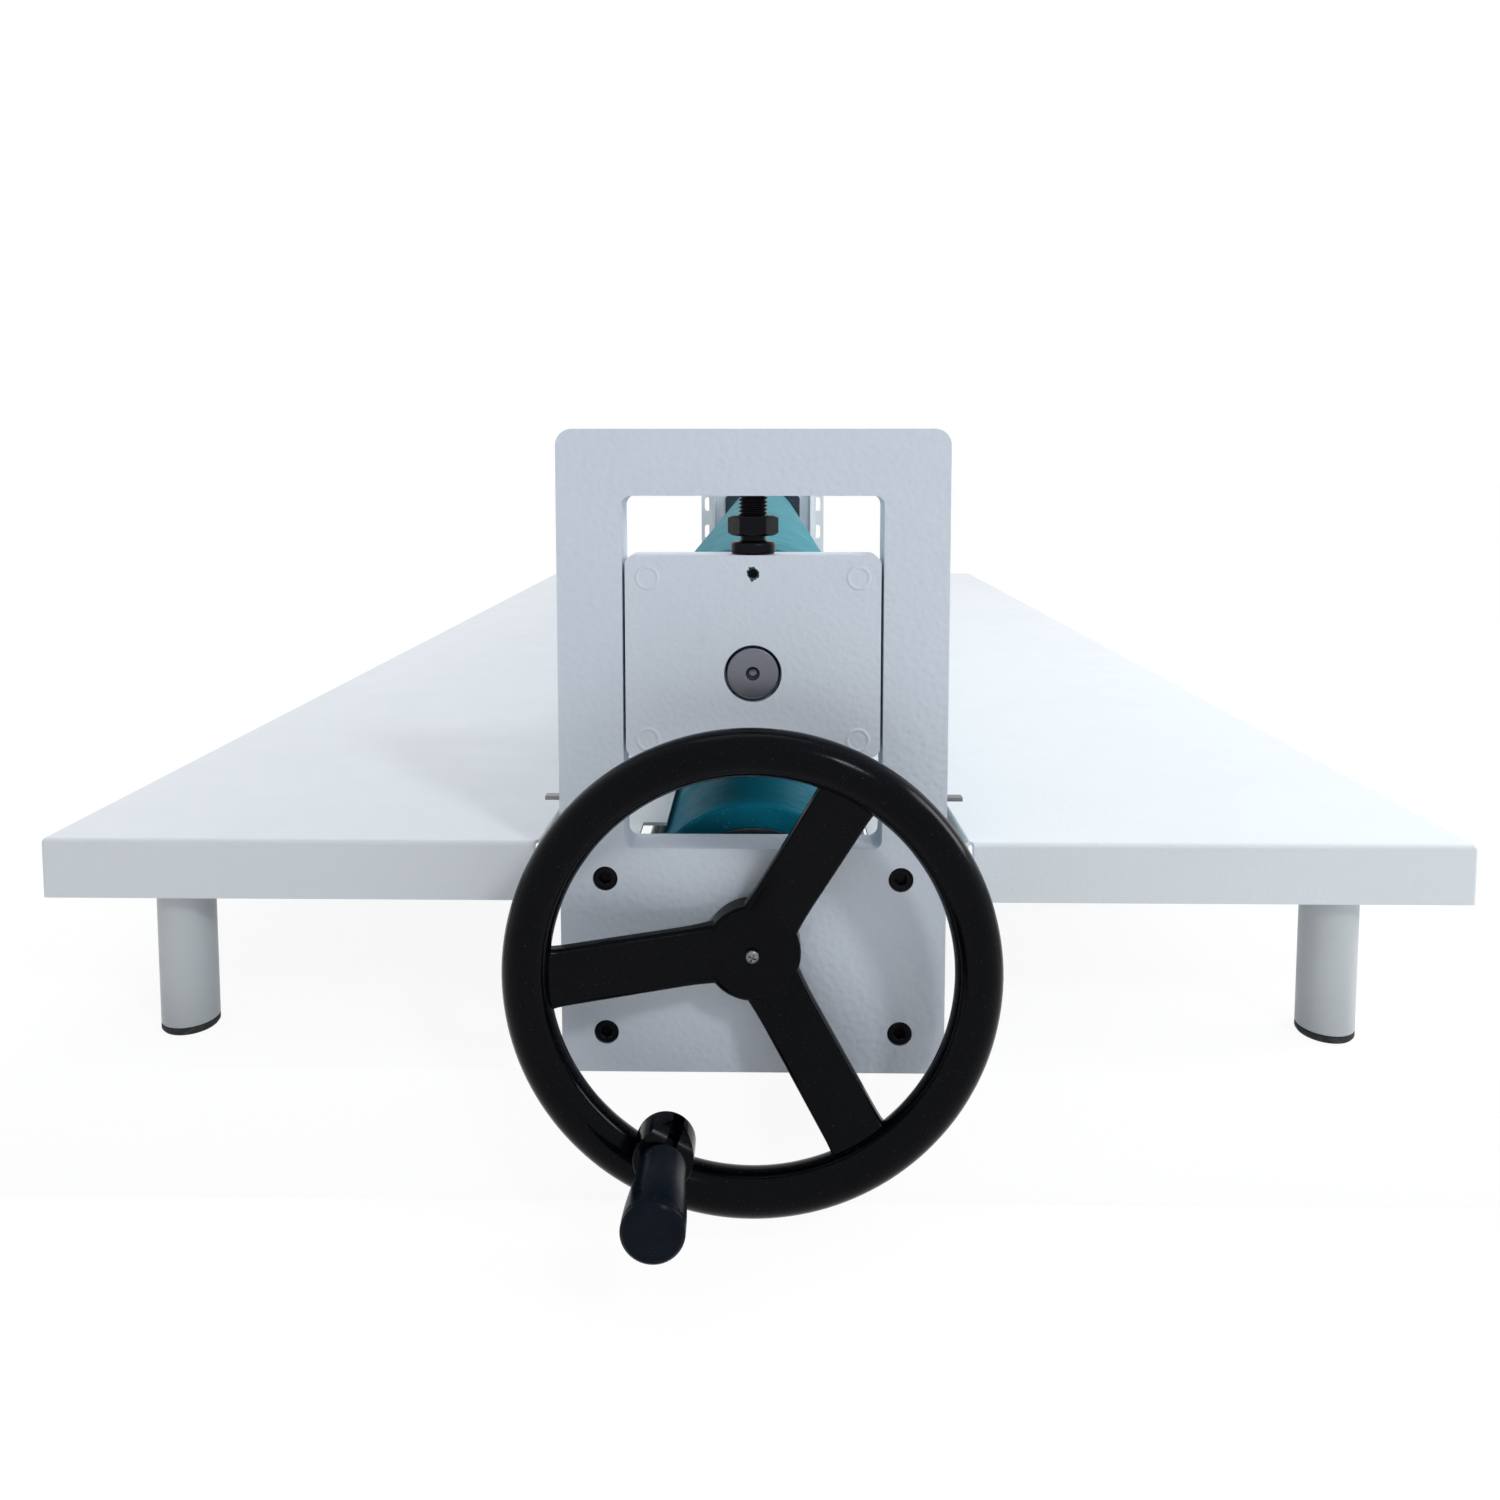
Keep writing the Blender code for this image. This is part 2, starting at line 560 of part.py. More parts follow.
# ---- Feed tables, legs and small brackets ------------------------------------------------------
def table(side, sign):
    """Folded sheet tray: it reaches in to the rollers and is notched and slotted round each plate."""
    near, far = TABLE_BACK_Y, PLATE_SPAN - TABLE_BACK_Y
    notch_x = TABLE_INNER_X + TABLE_NOTCH_W
    slot_inner = TABLE_SLOT_X - TABLE_SLOT_W
    near_half = [(TABLE_INNER_X, near + TABLE_NOTCH_L), (notch_x, near + TABLE_NOTCH_L), (notch_x, near),
                 (slot_inner, near), (slot_inner, near + TABLE_SLOT_L), (TABLE_SLOT_X, near + TABLE_SLOT_L),
                 (TABLE_SLOT_X, near), (TABLE_HALF_W, near)]
    outline = near_half + [(x, near + far - y) for x, y in reversed(near_half)]
    bm = bmesh.new()
    top = [bm.verts.new((sign * x, y, TABLE_TOP_Z)) for x, y in outline]
    bm.faces.new(top)
    folded = range(5, 10)       # the run of edges that carries the turned-down flange
    low = {i: bm.verts.new((sign * outline[i][0], outline[i][1], TABLE_TOP_Z - TABLE_FLANGE_H))
           for i in range(folded[0], folded[-1] + 2)}
    for i in folded:
        bm.faces.new((top[i], top[i + 1], low[i + 1], low[i]))
    bmesh.ops.recalc_face_normals(bm, faces=bm.faces)
    if bm.faces[:][0].normal.z < 0:
        bmesh.ops.reverse_faces(bm, faces=bm.faces)
    mesh = bpy.data.meshes.new(side + "_table")
    bm.to_mesh(mesh)
    bm.free()
    sheet = add_object(side + "_table", mesh, TABLE_PAINT)
    shell = sheet.modifiers.new("sheet", 'SOLIDIFY')
    shell.thickness = TABLE_T
    shell.offset = -1
    shell.use_even_offset = True


def leg(end, y, side, sign):
    """Round tube with a welded mounting disc, and a push-in foot closing its lower end."""
    holder = add_empty("_".join((end, side, "leg_axis")), (sign * LEG_X, y, 0))
    top = TABLE_UNDER_Z - GAP
    bottom = FOOT_T + GAP
    bore = LEG_D / 2 - LEG_WALL
    profile = [(0, top), (LEG_FLANGE_D / 2, top), (LEG_FLANGE_D / 2, top - LEG_FLANGE_T),
               (LEG_D / 2, top - LEG_FLANGE_T), (LEG_D / 2, bottom), (bore, bottom),
               (bore, top - LEG_FLANGE_T), (0, top - LEG_FLANGE_T)]
    turned("_".join((end, side, "leg")), profile, TABLE_PAINT, parent=holder, axis='Z', sides=20)
    plug = bore - GAP
    foot = [(0, FOOT_T + FOOT_PLUG_L), (plug, FOOT_T + FOOT_PLUG_L), (plug, FOOT_T), (FOOT_D / 2, FOOT_T),
            (FOOT_D / 2, FOOT_EDGE), (FOOT_D / 2 - FOOT_EDGE, 0), (0, 0)]
    turned("_".join((end, side, "foot")), foot, FOOT_RUBBER, parent=holder, axis='Z', sides=20)


def table_clip(side, sign):
    """Small angle behind the near plate that holds the table's inner edge down."""
    name = "near_" + side + "_table_clip"
    back = PLATE_T / 2 + GAP
    inner = WINDOW_W / 2 + KEEPER_OVERLAP + RUNNING
    bottom = TABLE_TOP_Z + GAP
    xs = sorted((sign * inner, sign * CLIP_TIP_X))
    clip = box(name, (xs[0], back, bottom), (xs[1], back + CLIP_DEPTH, CLIP_TOP_Z), STEEL)
    under = CLIP_TOP_Z - CLIP_T
    past = sorted((sign * inner - sign * CUT_PAST, sign * CLIP_TIP_X + sign * CUT_PAST))
    cut(clip, box(name + "_under", (past[0], back + CLIP_T, bottom - CUT_PAST),
                  (past[1], back + CLIP_DEPTH + CUT_PAST, under)))
    past = sorted((sign * CLIP_LEG_TIP_X, sign * CLIP_TIP_X + sign * CUT_PAST))
    cut(clip, box(name + "_tip", (past[0], back - CUT_PAST, bottom - CUT_PAST),
                  (past[1], back + CLIP_DEPTH + CUT_PAST, under)))


def slotted_upright(side, sign):
    """Slotted angle on the inner face of the far plate, standing above the table."""
    name = "far_" + side + "_slotted_upright"
    back = PLATE_SPAN - PLATE_T / 2 - GAP
    bottom = TABLE_TOP_Z + GAP
    xs = sorted((sign * UPRIGHT_INNER_X, sign * UPRIGHT_OUTER_X))
    strip = box(name, (xs[0], back - UPRIGHT_RIB, bottom), (xs[1], back, UPRIGHT_TOP_Z), TABLE_PAINT)
    xs = sorted((sign * (UPRIGHT_INNER_X + UPRIGHT_T), sign * UPRIGHT_OUTER_X + sign * CUT_PAST))
    cut(strip, box(name + "_fold", (xs[0], back - UPRIGHT_RIB - CUT_PAST, bottom - CUT_PAST),
                   (xs[1], back - UPRIGHT_T, UPRIGHT_TOP_Z + CUT_PAST)))
    middle = (UPRIGHT_INNER_X + UPRIGHT_T + UPRIGHT_OUTER_X) / 2
    z = SLOT_FIRST_Z
    number = 1
    while z + SLOT_L / 2 < UPRIGHT_TOP_Z - SLOT_W:
        cut(strip, rounded_plate(f"{name}_slot_{number}",
                                 (sign * middle - SLOT_W / 2, back - UPRIGHT_T - CUT_PAST, z - SLOT_L / 2),
                                 (sign * middle + SLOT_W / 2, back + CUT_PAST, z + SLOT_L / 2),
                                 SLOT_W / 2 - GAP, steps=3))
        z += SLOT_PITCH
        number += 1


# ---- Handwheel and handle -----------------------------------------------------------------------
def handwheel(drive):
    """Dished three-spoke wheel with a boss for the handle, keyed and screwed to the drive journal."""
    holder = add_empty("handwheel_axis", (0, 0, LOWER_AXIS_Z))
    tube_r = RIM_D / 2
    turns = [2 * math.pi * i / RIM_SIDES for i in range(RIM_SIDES)]
    circle = [(RIM_CENTRE_R + tube_r * math.cos(a), RIM_Y - tube_r * math.sin(a)) for a in turns]
    wheel = turned("handwheel", circle, BLACK_PLASTIC, parent=holder, ring=True, sides=RIM_STEPS)
    edge = 0.003
    hub_r = HUB_D / 2
    profile = [(0, HUB_BACK_Y), (hub_r - edge, HUB_BACK_Y), (hub_r, HUB_BACK_Y - edge),
               (hub_r, HUB_FRONT_Y + edge), (hub_r - edge, HUB_FRONT_Y), (0, HUB_FRONT_Y)]
    hub = turned("wheel_hub_shape", profile, parent=holder)
    spoke_start = (HUB_D / 4, (HUB_BACK_Y + HUB_FRONT_Y) / 2 - edge / 2)
    spoke_end = (RIM_CENTRE_R, RIM_Y)
    for number in range(SPOKE_COUNT):
        angle = math.radians(FIRST_SPOKE_DEG + 360 * number / SPOKE_COUNT)
        join(wheel, spoke(f"wheel_spoke_shape_{number + 1}", spoke_start, spoke_end, angle, holder))
    handle = math.radians(HANDLE_DEG)
    handle_at = (HANDLE_R * math.cos(handle), HANDLE_R * math.sin(handle))
    boss = rod("wheel_boss_shape", BOSS_D, BOSS_FACE_Y, BOSS_FACE_Y + BOSS_L, parent=holder, at=handle_at,
               sides=ROUND)
    join(wheel, hub, boss)
    cut(wheel, rod("wheel_bore", JOURNAL_D + 2 * GAP, HUB_FRONT_Y + HUB_FRONT_WALL, HUB_BACK_Y + CUT_PAST,
                   parent=holder, sides=ROUND))
    cut(wheel, rod("wheel_screw_hole", HUB_SCREW_D + 2 * GAP, HUB_FRONT_Y - CUT_PAST, HUB_BACK_Y,
                   parent=holder))
    hub_fittings(wheel, drive, holder)
    return wheel, handle_at


def spoke(name, start, end, angle, holder):
    """Flat bevelled bar between two (radius, y) points, at an angle round the wheel."""
    run, rise = end[0] - start[0], end[1] - start[1]
    bm = bmesh.new()
    bmesh.ops.create_cube(bm, size=1.0)
    bmesh.ops.scale(bm, vec=(math.hypot(run, rise), SPOKE_T, SPOKE_W), verts=bm.verts)
    bar = add_object(name, mesh_from(bm, name), parent=holder)
    middle_r, middle_y = (start[0] + end[0]) / 2, (start[1] + end[1]) / 2
    bar.location = (middle_r * math.cos(angle), middle_y, middle_r * math.sin(angle))
    bar.rotation_mode = 'ZYX'
    bar.rotation_euler = (0, -angle, math.atan2(rise, run))
    round_edges(bar, SPOKE_BEVEL)
    return bar


def hub_fittings(wheel, drive, holder):
    """Key between the wheel and the drive journal, and the screw in the hub's front."""
    key_middle = DRIVE_END_Y + KEY_L / 2 + GAP
    radius = JOURNAL_D / 2
    low, high = radius - KEY_H / 2, radius + KEY_H / 2
    box("wheel_key", (-KEY_W / 2, key_middle - KEY_L / 2, low), (KEY_W / 2, key_middle + KEY_L / 2, high),
        STEEL, holder)
    seat = box("key_seat", (-KEY_W / 2 - GAP, DRIVE_END_Y - CUT_PAST, low - GAP),
               (KEY_W / 2 + GAP, key_middle + KEY_L / 2 + GAP, radius + GAP), parent=holder)
    way = box("key_way", (-KEY_W / 2 - GAP, DRIVE_END_Y - GAP, 0),
              (KEY_W / 2 + GAP, HUB_BACK_Y + CUT_PAST, high + GAP), parent=holder)
    cut(drive, seat)
    cut(wheel, way)
    under_head = HUB_FRONT_Y - GAP
    head_top = under_head - HUB_SCREW_HEAD_H
    soft = HUB_SCREW_HEAD_H / 3
    tip = DRIVE_END_Y + HUB_SCREW_L - RUNNING
    profile = [(0, tip), (HUB_SCREW_D / 2, tip), (HUB_SCREW_D / 2, under_head),
               (HUB_SCREW_HEAD_D / 2, under_head), (HUB_SCREW_HEAD_D / 2, head_top + soft),
               (HUB_SCREW_HEAD_D / 2 - soft, head_top), (0, head_top)]
    screw = turned("hub_screw", profile, STEEL, parent=holder, sides=SMALL_ROUND)
    arm, blade = HUB_SCREW_HEAD_D / 3, HUB_SCREW_HEAD_D / 14
    for tag, x, z in (("across", arm, blade), ("upright", blade, arm)):
        cut(screw, box("hub_screw_recess_" + tag, (-x, head_top - CUT_PAST, -z),
                       (x, head_top + HUB_SCREW_HEAD_H / 2, z), parent=holder))


def across(name, outline, half, pivot, material=None):
    """Extrudes a (y, z) outline evenly to both sides of the fold frame's middle plane."""
    bm = bmesh.new()
    face = bm.faces.new([bm.verts.new((-half, y, z)) for y, z in outline])
    swept = bmesh.ops.extrude_face_region(bm, geom=[face])
    moved = [item for item in swept["geom"] if isinstance(item, bmesh.types.BMVert)]
    bmesh.ops.translate(bm, vec=(2 * half, 0, 0), verts=moved)
    return add_object(name, mesh_from(bm, name), material, parent=pivot)


def nose_relief(pivot):
    """What the boss loses in front of and above the fold axis, so that the grip can swing past it."""
    steps = 10
    past = CUT_PAST * 2
    outline = [(-NOSE_R * math.sin(a), NOSE_R * math.cos(a))
               for a in (math.pi / 2 * i / steps for i in range(steps + 1))]
    outline += [(-NOSE_R - past, 0), (-NOSE_R - past, NOSE_R + past), (0, NOSE_R + past)]
    return across("handle_nose_relief", outline, NOSE_R + past, pivot)


def handle(wheel, handle_at):
    """Fold-away handle. Its frame has -Y out to the operator and +Z towards the wheel's axis."""
    lean = math.radians(-90.0 - HANDLE_DEG)
    pivot = add_empty("handle_pivot", (handle_at[0], PIVOT_Y, LOWER_AXIS_Z + handle_at[1]),
                      rotation=(0, lean, 0))
    cut(wheel, nose_relief(pivot))
    half, eye = TONGUE_T / 2, TONGUE_W / 2
    cut(wheel, box("handle_slot", (-half - GAP, -NOSE_R - CUT_PAST, -eye - GAP),
                   (half + GAP, eye + GAP, NOSE_R + CUT_PAST), parent=pivot))
    reach = BOSS_D / 2 + CUT_PAST
    cut(wheel, rod("handle_pin_hole", PIVOT_PIN_D + 2 * GAP, -reach, reach, 'X', parent=pivot))
    pin_end = BOSS_D / 2 - PIVOT_PIN_SHORT
    rod("handle_pivot_pin", PIVOT_PIN_D, -pin_end, pin_end, 'X', STEEL, pivot)

    steps = 8
    outline = [(eye * math.cos(a), eye * math.sin(a))
               for a in (math.pi * (i / steps - 0.5) for i in range(steps + 1))]
    outline += [(-NOSE_R - TONGUE_INSIDE, eye), (-NOSE_R - TONGUE_INSIDE, -eye)]
    spindle = across("handle_spindle", outline, half, pivot, STEEL)
    cut(spindle, rod("spindle_eye", PIVOT_PIN_D + 2 * GAP, -reach, reach, 'X', parent=pivot))
    grip_end = -GRIP_START - GRIP_L
    head_y = grip_end + CAP_T + 2 * GAP
    collar = -NOSE_R - GAP
    shank = [(0, collar), (SPINDLE_D / 2, collar), (SPINDLE_D / 2, head_y + SPINDLE_HEAD_H),
             (SPINDLE_HEAD_D / 2, head_y + SPINDLE_HEAD_H), (SPINDLE_HEAD_D / 2, head_y), (0, head_y)]
    join(spindle, turned("spindle_shape", shank, parent=pivot, sides=SMALL_ROUND))

    rear_r, front_r = GRIP_REAR_D / 2, GRIP_FRONT_D / 2
    bore, head_bore = SPINDLE_D / 2 + GAP, SPINDLE_HEAD_D / 2 + 2 * GAP
    step_y = head_y + SPINDLE_HEAD_H + GAP
    cap_seat = grip_end + CAP_T
    grip = [(rear_r - GRIP_REAR_R, -GRIP_START), (rear_r, -GRIP_START - GRIP_REAR_R)]
    flare_start = -GRIP_START - GRIP_REAR_R
    swell = 4
    for i in range(1, swell + 1):
        share = i / swell
        radius = rear_r + (front_r - rear_r) * (1 - math.cos(share * math.pi)) / 2
        grip.append((radius, flare_start + (cap_seat + GAP - flare_start) * share))
    grip += [(head_bore, cap_seat + GAP), (head_bore, step_y), (bore, step_y), (bore, -GRIP_START)]
    turned("handle_grip", grip, BLACK_PLASTIC, parent=pivot, ring=True, sides=24)
    dome = CAP_T * 0.7
    cap = [(0, cap_seat), (front_r, cap_seat)]
    cap += [(front_r * math.cos(a), cap_seat - CAP_T + dome - dome * math.sin(a))
            for a in (math.radians(18 * i) for i in range(5))]
    cap.append((0, cap_seat - CAP_T))
    turned("handle_end_cap", cap, BLACK_PLASTIC, parent=pivot, sides=24)


def build():
    for end, y, inward in ENDS:
        end_plate(end, y, inward)
        for side, sign in SIDES:
            leg(end, y + inward * (TABLE_BACK_Y + LEG_INSET), side, sign)
    tie_bars()
    drive = lower_roller()
    upper_roller()
    for side, sign in SIDES:
        table(side, sign)
        table_clip(side, sign)
        slotted_upright(side, sign)
    wheel, handle_at = handwheel(drive)
    handle(wheel, handle_at)


build()
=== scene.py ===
"""Looks for the hand-cranked roller press: fine geometry and procedural materials on the CAD frame.

Lengths are in metres, in the row frame: +Y along the rollers, +Z up, the operator at -Y.
"""
import math
import random

import bmesh
import bpy
from mathutils import Matrix, Vector


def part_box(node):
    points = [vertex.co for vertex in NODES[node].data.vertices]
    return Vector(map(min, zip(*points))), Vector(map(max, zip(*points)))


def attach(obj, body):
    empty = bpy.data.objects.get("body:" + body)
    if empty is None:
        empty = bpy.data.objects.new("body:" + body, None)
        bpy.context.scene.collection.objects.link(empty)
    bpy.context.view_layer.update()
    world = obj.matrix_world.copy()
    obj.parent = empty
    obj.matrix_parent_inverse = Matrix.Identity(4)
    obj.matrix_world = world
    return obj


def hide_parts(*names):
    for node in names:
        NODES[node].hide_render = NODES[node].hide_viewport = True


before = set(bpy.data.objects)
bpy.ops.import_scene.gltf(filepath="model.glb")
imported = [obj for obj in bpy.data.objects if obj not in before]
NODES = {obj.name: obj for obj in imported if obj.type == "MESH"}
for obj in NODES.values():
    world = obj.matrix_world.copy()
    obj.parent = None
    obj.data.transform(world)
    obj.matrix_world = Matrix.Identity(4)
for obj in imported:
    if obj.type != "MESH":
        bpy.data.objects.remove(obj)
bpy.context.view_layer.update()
SCENE = bpy.context.scene
random.seed(11)

ENDS = (("near", 1), ("far", -1))  # name, direction from the plate's outer face to the rollers
SIDES = (("left", -1), ("right", 1))


# ---- Sizes read from the CAD frame ----
def middle(node):
    low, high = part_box(node)
    return (low + high) / 2


LOWER_Z = middle("lower_roller_sleeve").z
UPPER_Z = middle("upper_roller_sleeve").z
ROLLER_LOW, ROLLER_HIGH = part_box("lower_roller_sleeve")
ROLLER_R = (ROLLER_HIGH.x - ROLLER_LOW.x) / 2
PLATE_LOW, PLATE_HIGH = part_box("near_end_plate")
BLOCK_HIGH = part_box("near_bearing_block")[1]
WINDOW_X = BLOCK_HIGH.x + 0.0015  # half width, with the block's sliding gap
WINDOW_TOP = PLATE_HIGH.z - 0.0355  # under the top bar
SILL = 0.126

# ---- Sizes that the frame doesn't give ----
PAST = 0.002  # how far a cutter stands out of what it cuts
PLATE_CORNER_R, WINDOW_CORNER_R, PLATE_EDGE = 0.009, 0.0052, 0.0013
SHAFT_R, SHAFT_HOLE_R = 0.014, 0.0155
BEARING_R, BEARING_BORE_R, BEARING_EDGE = 0.0275, 0.0143, 0.0006
POCKET_R, POCKET_DEPTH = 0.0278, 0.0156  # bearing pockets in the plates and blocks
BOLT_R, BOLT_HOLE_R, BOLT_HEAD_R, BOLT_HEAD_L = 0.0040, 0.0043, 0.0065, 0.008
COUNTERBORE_R, COUNTERBORE_DEPTH = 0.0068, 0.0083
SCREW_HOLE_R = 0.0083  # through the plates' top bars
RUBBER_BORE_R, TUBE_R, TUBE_BORE_R = 0.0523, 0.052, 0.046
END_DISC_R, END_DISC_L = 0.0457, 0.030  # the journals' discs inside the tubes
PITCH, THREAD_R, THREAD_ROOT_R = 0.002, 0.0080, 0.00677
NUT_FLATS, NUT_CORNER_R, NUT_FACE_R = 0.024, 0.01377, 0.0114
SHEET_T, BEND_R = 0.002, 0.0030
LEG_R, LEG_DISC_R = 0.0160, 0.0218
WHEEL_R, RIM_TUBE = 0.1275, 0.01215
RIM_R = WHEEL_R - RIM_TUBE
RIM_Y = PLATE_LOW.y - 0.0428
HUB_BACK, HUB_FRONT, HUB_R, HUB_WEB = -0.0145, -0.0322, 0.0259, 0.0045
HUB_SCREW_R = 0.0025
PIVOT = middle("handle_pivot_pin")  # the handle folds about it
FOLD_FRAME = Matrix.Translation(PIVOT) @ Matrix.Rotation(math.radians(27), 4, 'Y')
NOSE_R, BOSS_L = 0.0153, 0.022
SLOT_HALF, SLOT_UNDER = 0.0031, 0.0037  # the tongue's slot in the boss
GRIP_R, GRIP_REAR_R, SPINDLE_BORE_R = 0.0150, 0.0120, 0.0048


# ---- Node graphs ----
def feed(tree, socket, value):
    """Links another node's output into a socket, or sets the socket to a plain value."""
    if isinstance(value, bpy.types.NodeSocket):
        tree.links.new(value, socket)
    else:
        socket.default_value = value


def maths(tree, operation, a, b=0.0):
    node = tree.nodes.new("ShaderNodeMath")
    node.operation = operation
    feed(tree, node.inputs[0], a)
    feed(tree, node.inputs[1], b)
    return node.outputs[0]


def smooth_range(tree, value, *ends):
    """Maps a value smoothly from (low, high) to (least, most)."""
    node = tree.nodes.new("ShaderNodeMapRange")
    node.interpolation_type = 'SMOOTHSTEP'
    feed(tree, node.inputs["Value"], value)
    for key, number in zip(("From Min", "From Max", "To Min", "To Max"), ends):
        node.inputs[key].default_value = number
    return node.outputs["Result"]


def opaque(value):
    """A colour for a socket: a node's output as it is, or (red, green, blue) with full alpha."""
    return value if isinstance(value, bpy.types.NodeSocket) else (*value, 1.0)


class Graph:
    """A material's node tree with short calls to add nodes."""

    def __init__(self, name, roughness=0.5, metallic=0.0, **constants):
        self.material = bpy.data.materials.new(name)
        self.material.use_nodes = True
        self.tree = self.material.node_tree
        self.shader = self.tree.nodes["Principled BSDF"]
        self.shader.inputs["Roughness"].default_value = roughness
        self.shader.inputs["Metallic"].default_value = metallic
        for key, value in constants.items():
            self.shader.inputs[key.replace("_", " ")].default_value = value
        self.coords = self.tree.nodes.new("ShaderNodeTexCoord").outputs["Object"]

    def link(self, source, target):
        self.tree.links.new(source, target)

    def value(self, socket, value):
        feed(self.tree, socket, value)

    def stretch(self, scale, rotation=(0, 0, 0)):
        node = self.tree.nodes.new("ShaderNodeMapping")
        node.inputs["Scale"].default_value = scale
        node.inputs["Rotation"].default_value = rotation
        self.link(self.coords, node.inputs["Vector"])
        return node.outputs["Vector"]

    def noise(self, scale, detail=2.0, rough=0.5, vector=None, distortion=0.0):
        node = self.tree.nodes.new("ShaderNodeTexNoise")
        node.inputs["Scale"].default_value = scale
        node.inputs["Detail"].default_value = detail
        node.inputs["Roughness"].default_value = rough
        node.inputs["Distortion"].default_value = distortion
        self.link(vector or self.coords, node.inputs["Vector"])
        return node.outputs["Fac"]

    def cells(self, scale):
        node = self.tree.nodes.new("ShaderNodeTexVoronoi")
        node.feature = 'SMOOTH_F1'
        node.inputs["Scale"].default_value = scale
        self.link(self.coords, node.inputs["Vector"])
        return node.outputs["Distance"]

    def ramp(self, fac, low, high, out_low=0.0, out_high=1.0):
        return smooth_range(self.tree, fac, low, high, out_low, out_high)

    def maths(self, operation, a, b=0.0):
        return maths(self.tree, operation, a, b)

    def mix(self, fac, a, b, blend='MIX'):
        node = self.tree.nodes.new("ShaderNodeMix")
        node.data_type = 'RGBA'
        node.blend_type = blend
        self.value(node.inputs["Factor"], fac)
        self.value(node.inputs[6], opaque(a))
        self.value(node.inputs[7], opaque(b))
        return node.outputs[2]

    def xyz(self):
        parts = self.tree.nodes.new("ShaderNodeSeparateXYZ")
        self.link(self.coords, parts.inputs[0])
        return parts.outputs

    def radius(self, axis_z):
        """Distance from the line along Y at this height."""
        x, _, z = self.xyz()
        z = self.maths('SUBTRACT', z, axis_z)
        return self.maths('SQRT', self.maths('ADD', self.maths('MULTIPLY', x, x),
                                             self.maths('MULTIPLY', z, z)))

    def height(self):
        return self.xyz()[2]

    def edges(self, low, high):
        node = self.tree.nodes.new("ShaderNodeNewGeometry")
        return self.ramp(node.outputs["Pointiness"], low, high)

    def colour(self, value):
        self.value(self.shader.inputs["Base Color"], opaque(value))

    def rough(self, value):
        self.value(self.shader.inputs["Roughness"], value)

    def bump(self, height, distance, strength=1.0, under=None):
        node = self.tree.nodes.new("ShaderNodeBump")
        node.inputs["Distance"].default_value = distance
        node.inputs["Strength"].default_value = strength
        self.value(node.inputs["Height"], height)
        if under:
            self.link(under, node.inputs["Normal"])
        self.link(node.outputs["Normal"], self.shader.inputs["Normal"])
        return node.outputs["Normal"]


# ---- Materials ----
def powder_coat(name, light, dark, grain, peel, roughness, bottom_dark=0.05, smudge=0.10):
    """Textured powder coat: fine pebbled bump, slow tint changes and faint handling marks."""
    g = Graph(name, roughness, Specular_IOR_Level=0.42)
    slow = g.ramp(g.noise(5.5, 3.0, 0.6), 0.30, 0.70)
    base = g.mix(slow, dark, light)
    speck = g.ramp(g.noise(1900.0, 1.0), 0.62, 0.74)
    base = g.mix(g.maths('MULTIPLY', speck, 0.10), base, tuple(c * 0.60 for c in light))
    marks = g.ramp(g.noise(48.0, 4.0, 0.7, distortion=0.8), 0.60, 0.76)
    base = g.mix(g.maths('MULTIPLY', marks, smudge), base, tuple(c * 0.55 for c in dark))
    # Darker towards the bottom, over the lowest 5 cm above the bench.
    low = g.ramp(g.height(), 0.0, 0.05, bottom_dark, 0.0)
    g.colour(g.mix(low, base, (0.16, 0.15, 0.14)))
    g.rough(g.ramp(g.noise(38.0, 4.0, 0.6), 0.25, 0.75, roughness - 0.07, roughness + 0.09))
    pebbles = g.bump(g.noise(grain, 2.0, 0.55), 0.00012, 0.55)
    g.bump(g.cells(grain * 0.42), peel, 0.70, pebbles)
    return g.material


def rubber(name, light, dark, axis_z):
    """Ground rubber cover: fine cross-ground bands, dull marks and dusty specks."""
    g = Graph(name, 0.40, Specular_IOR_Level=0.05)
    bands = g.noise(1.0, 4.0, 0.65, g.stretch((14.0, 620.0, 14.0)))
    soft = g.ramp(g.noise(9.0, 4.0, 0.6), 0.30, 0.72)
    base = g.mix(g.ramp(bands, 0.35, 0.68), dark, light)
    base = g.mix(g.maths('MULTIPLY', soft, 0.35), base, tuple(c * 0.62 for c in dark))
    edge = g.ramp(g.radius(axis_z), ROLLER_R - 0.0032, ROLLER_R - 0.0010)
    base = g.mix(g.maths('MULTIPLY', edge, 0.12), base, tuple(c * 1.35 + 0.01 for c in light))
    dust = g.ramp(g.noise(420.0, 2.0), 0.66, 0.76)
    g.colour(g.mix(g.maths('MULTIPLY', dust, 0.14), base, (0.45, 0.52, 0.54)))
    g.rough(g.ramp(g.noise(60.0, 4.0, 0.7), 0.25, 0.75, 0.42, 0.62))
    ground = g.bump(bands, 0.00006, 0.5)
    g.bump(g.noise(1500.0, 2.0), 0.00005, 0.5, ground)
    return g.material


def turned_steel(name, tone, axis_z, roughness=0.30):
    """Lathe-finished steel: rings round a line along Y, slow stains and a little oil."""
    g = Graph(name, roughness, 1.0)
    rings = g.noise(2600.0, 3.0, 0.6, g.radius(axis_z))
    feed = g.noise(1.0, 3.0, 0.6, g.stretch((3.0, 2300.0, 3.0)))
    both = g.maths('ADD', g.maths('MULTIPLY', rings, 0.5), g.maths('MULTIPLY', feed, 0.5))
    base = g.mix(g.ramp(both, 0.35, 0.65), tuple(c * 0.80 for c in tone), tone)
    old = g.ramp(g.noise(75.0, 5.0, 0.65), 0.52, 0.76)
    g.colour(g.mix(g.maths('MULTIPLY', old, 0.25), base, (0.20, 0.17, 0.14)))
    g.rough(g.maths('ADD', g.ramp(both, 0.3, 0.7, roughness - 0.06, roughness + 0.10),
                    g.maths('MULTIPLY', old, 0.14)))
    g.bump(both, 0.00003, 0.6)
    return g.material


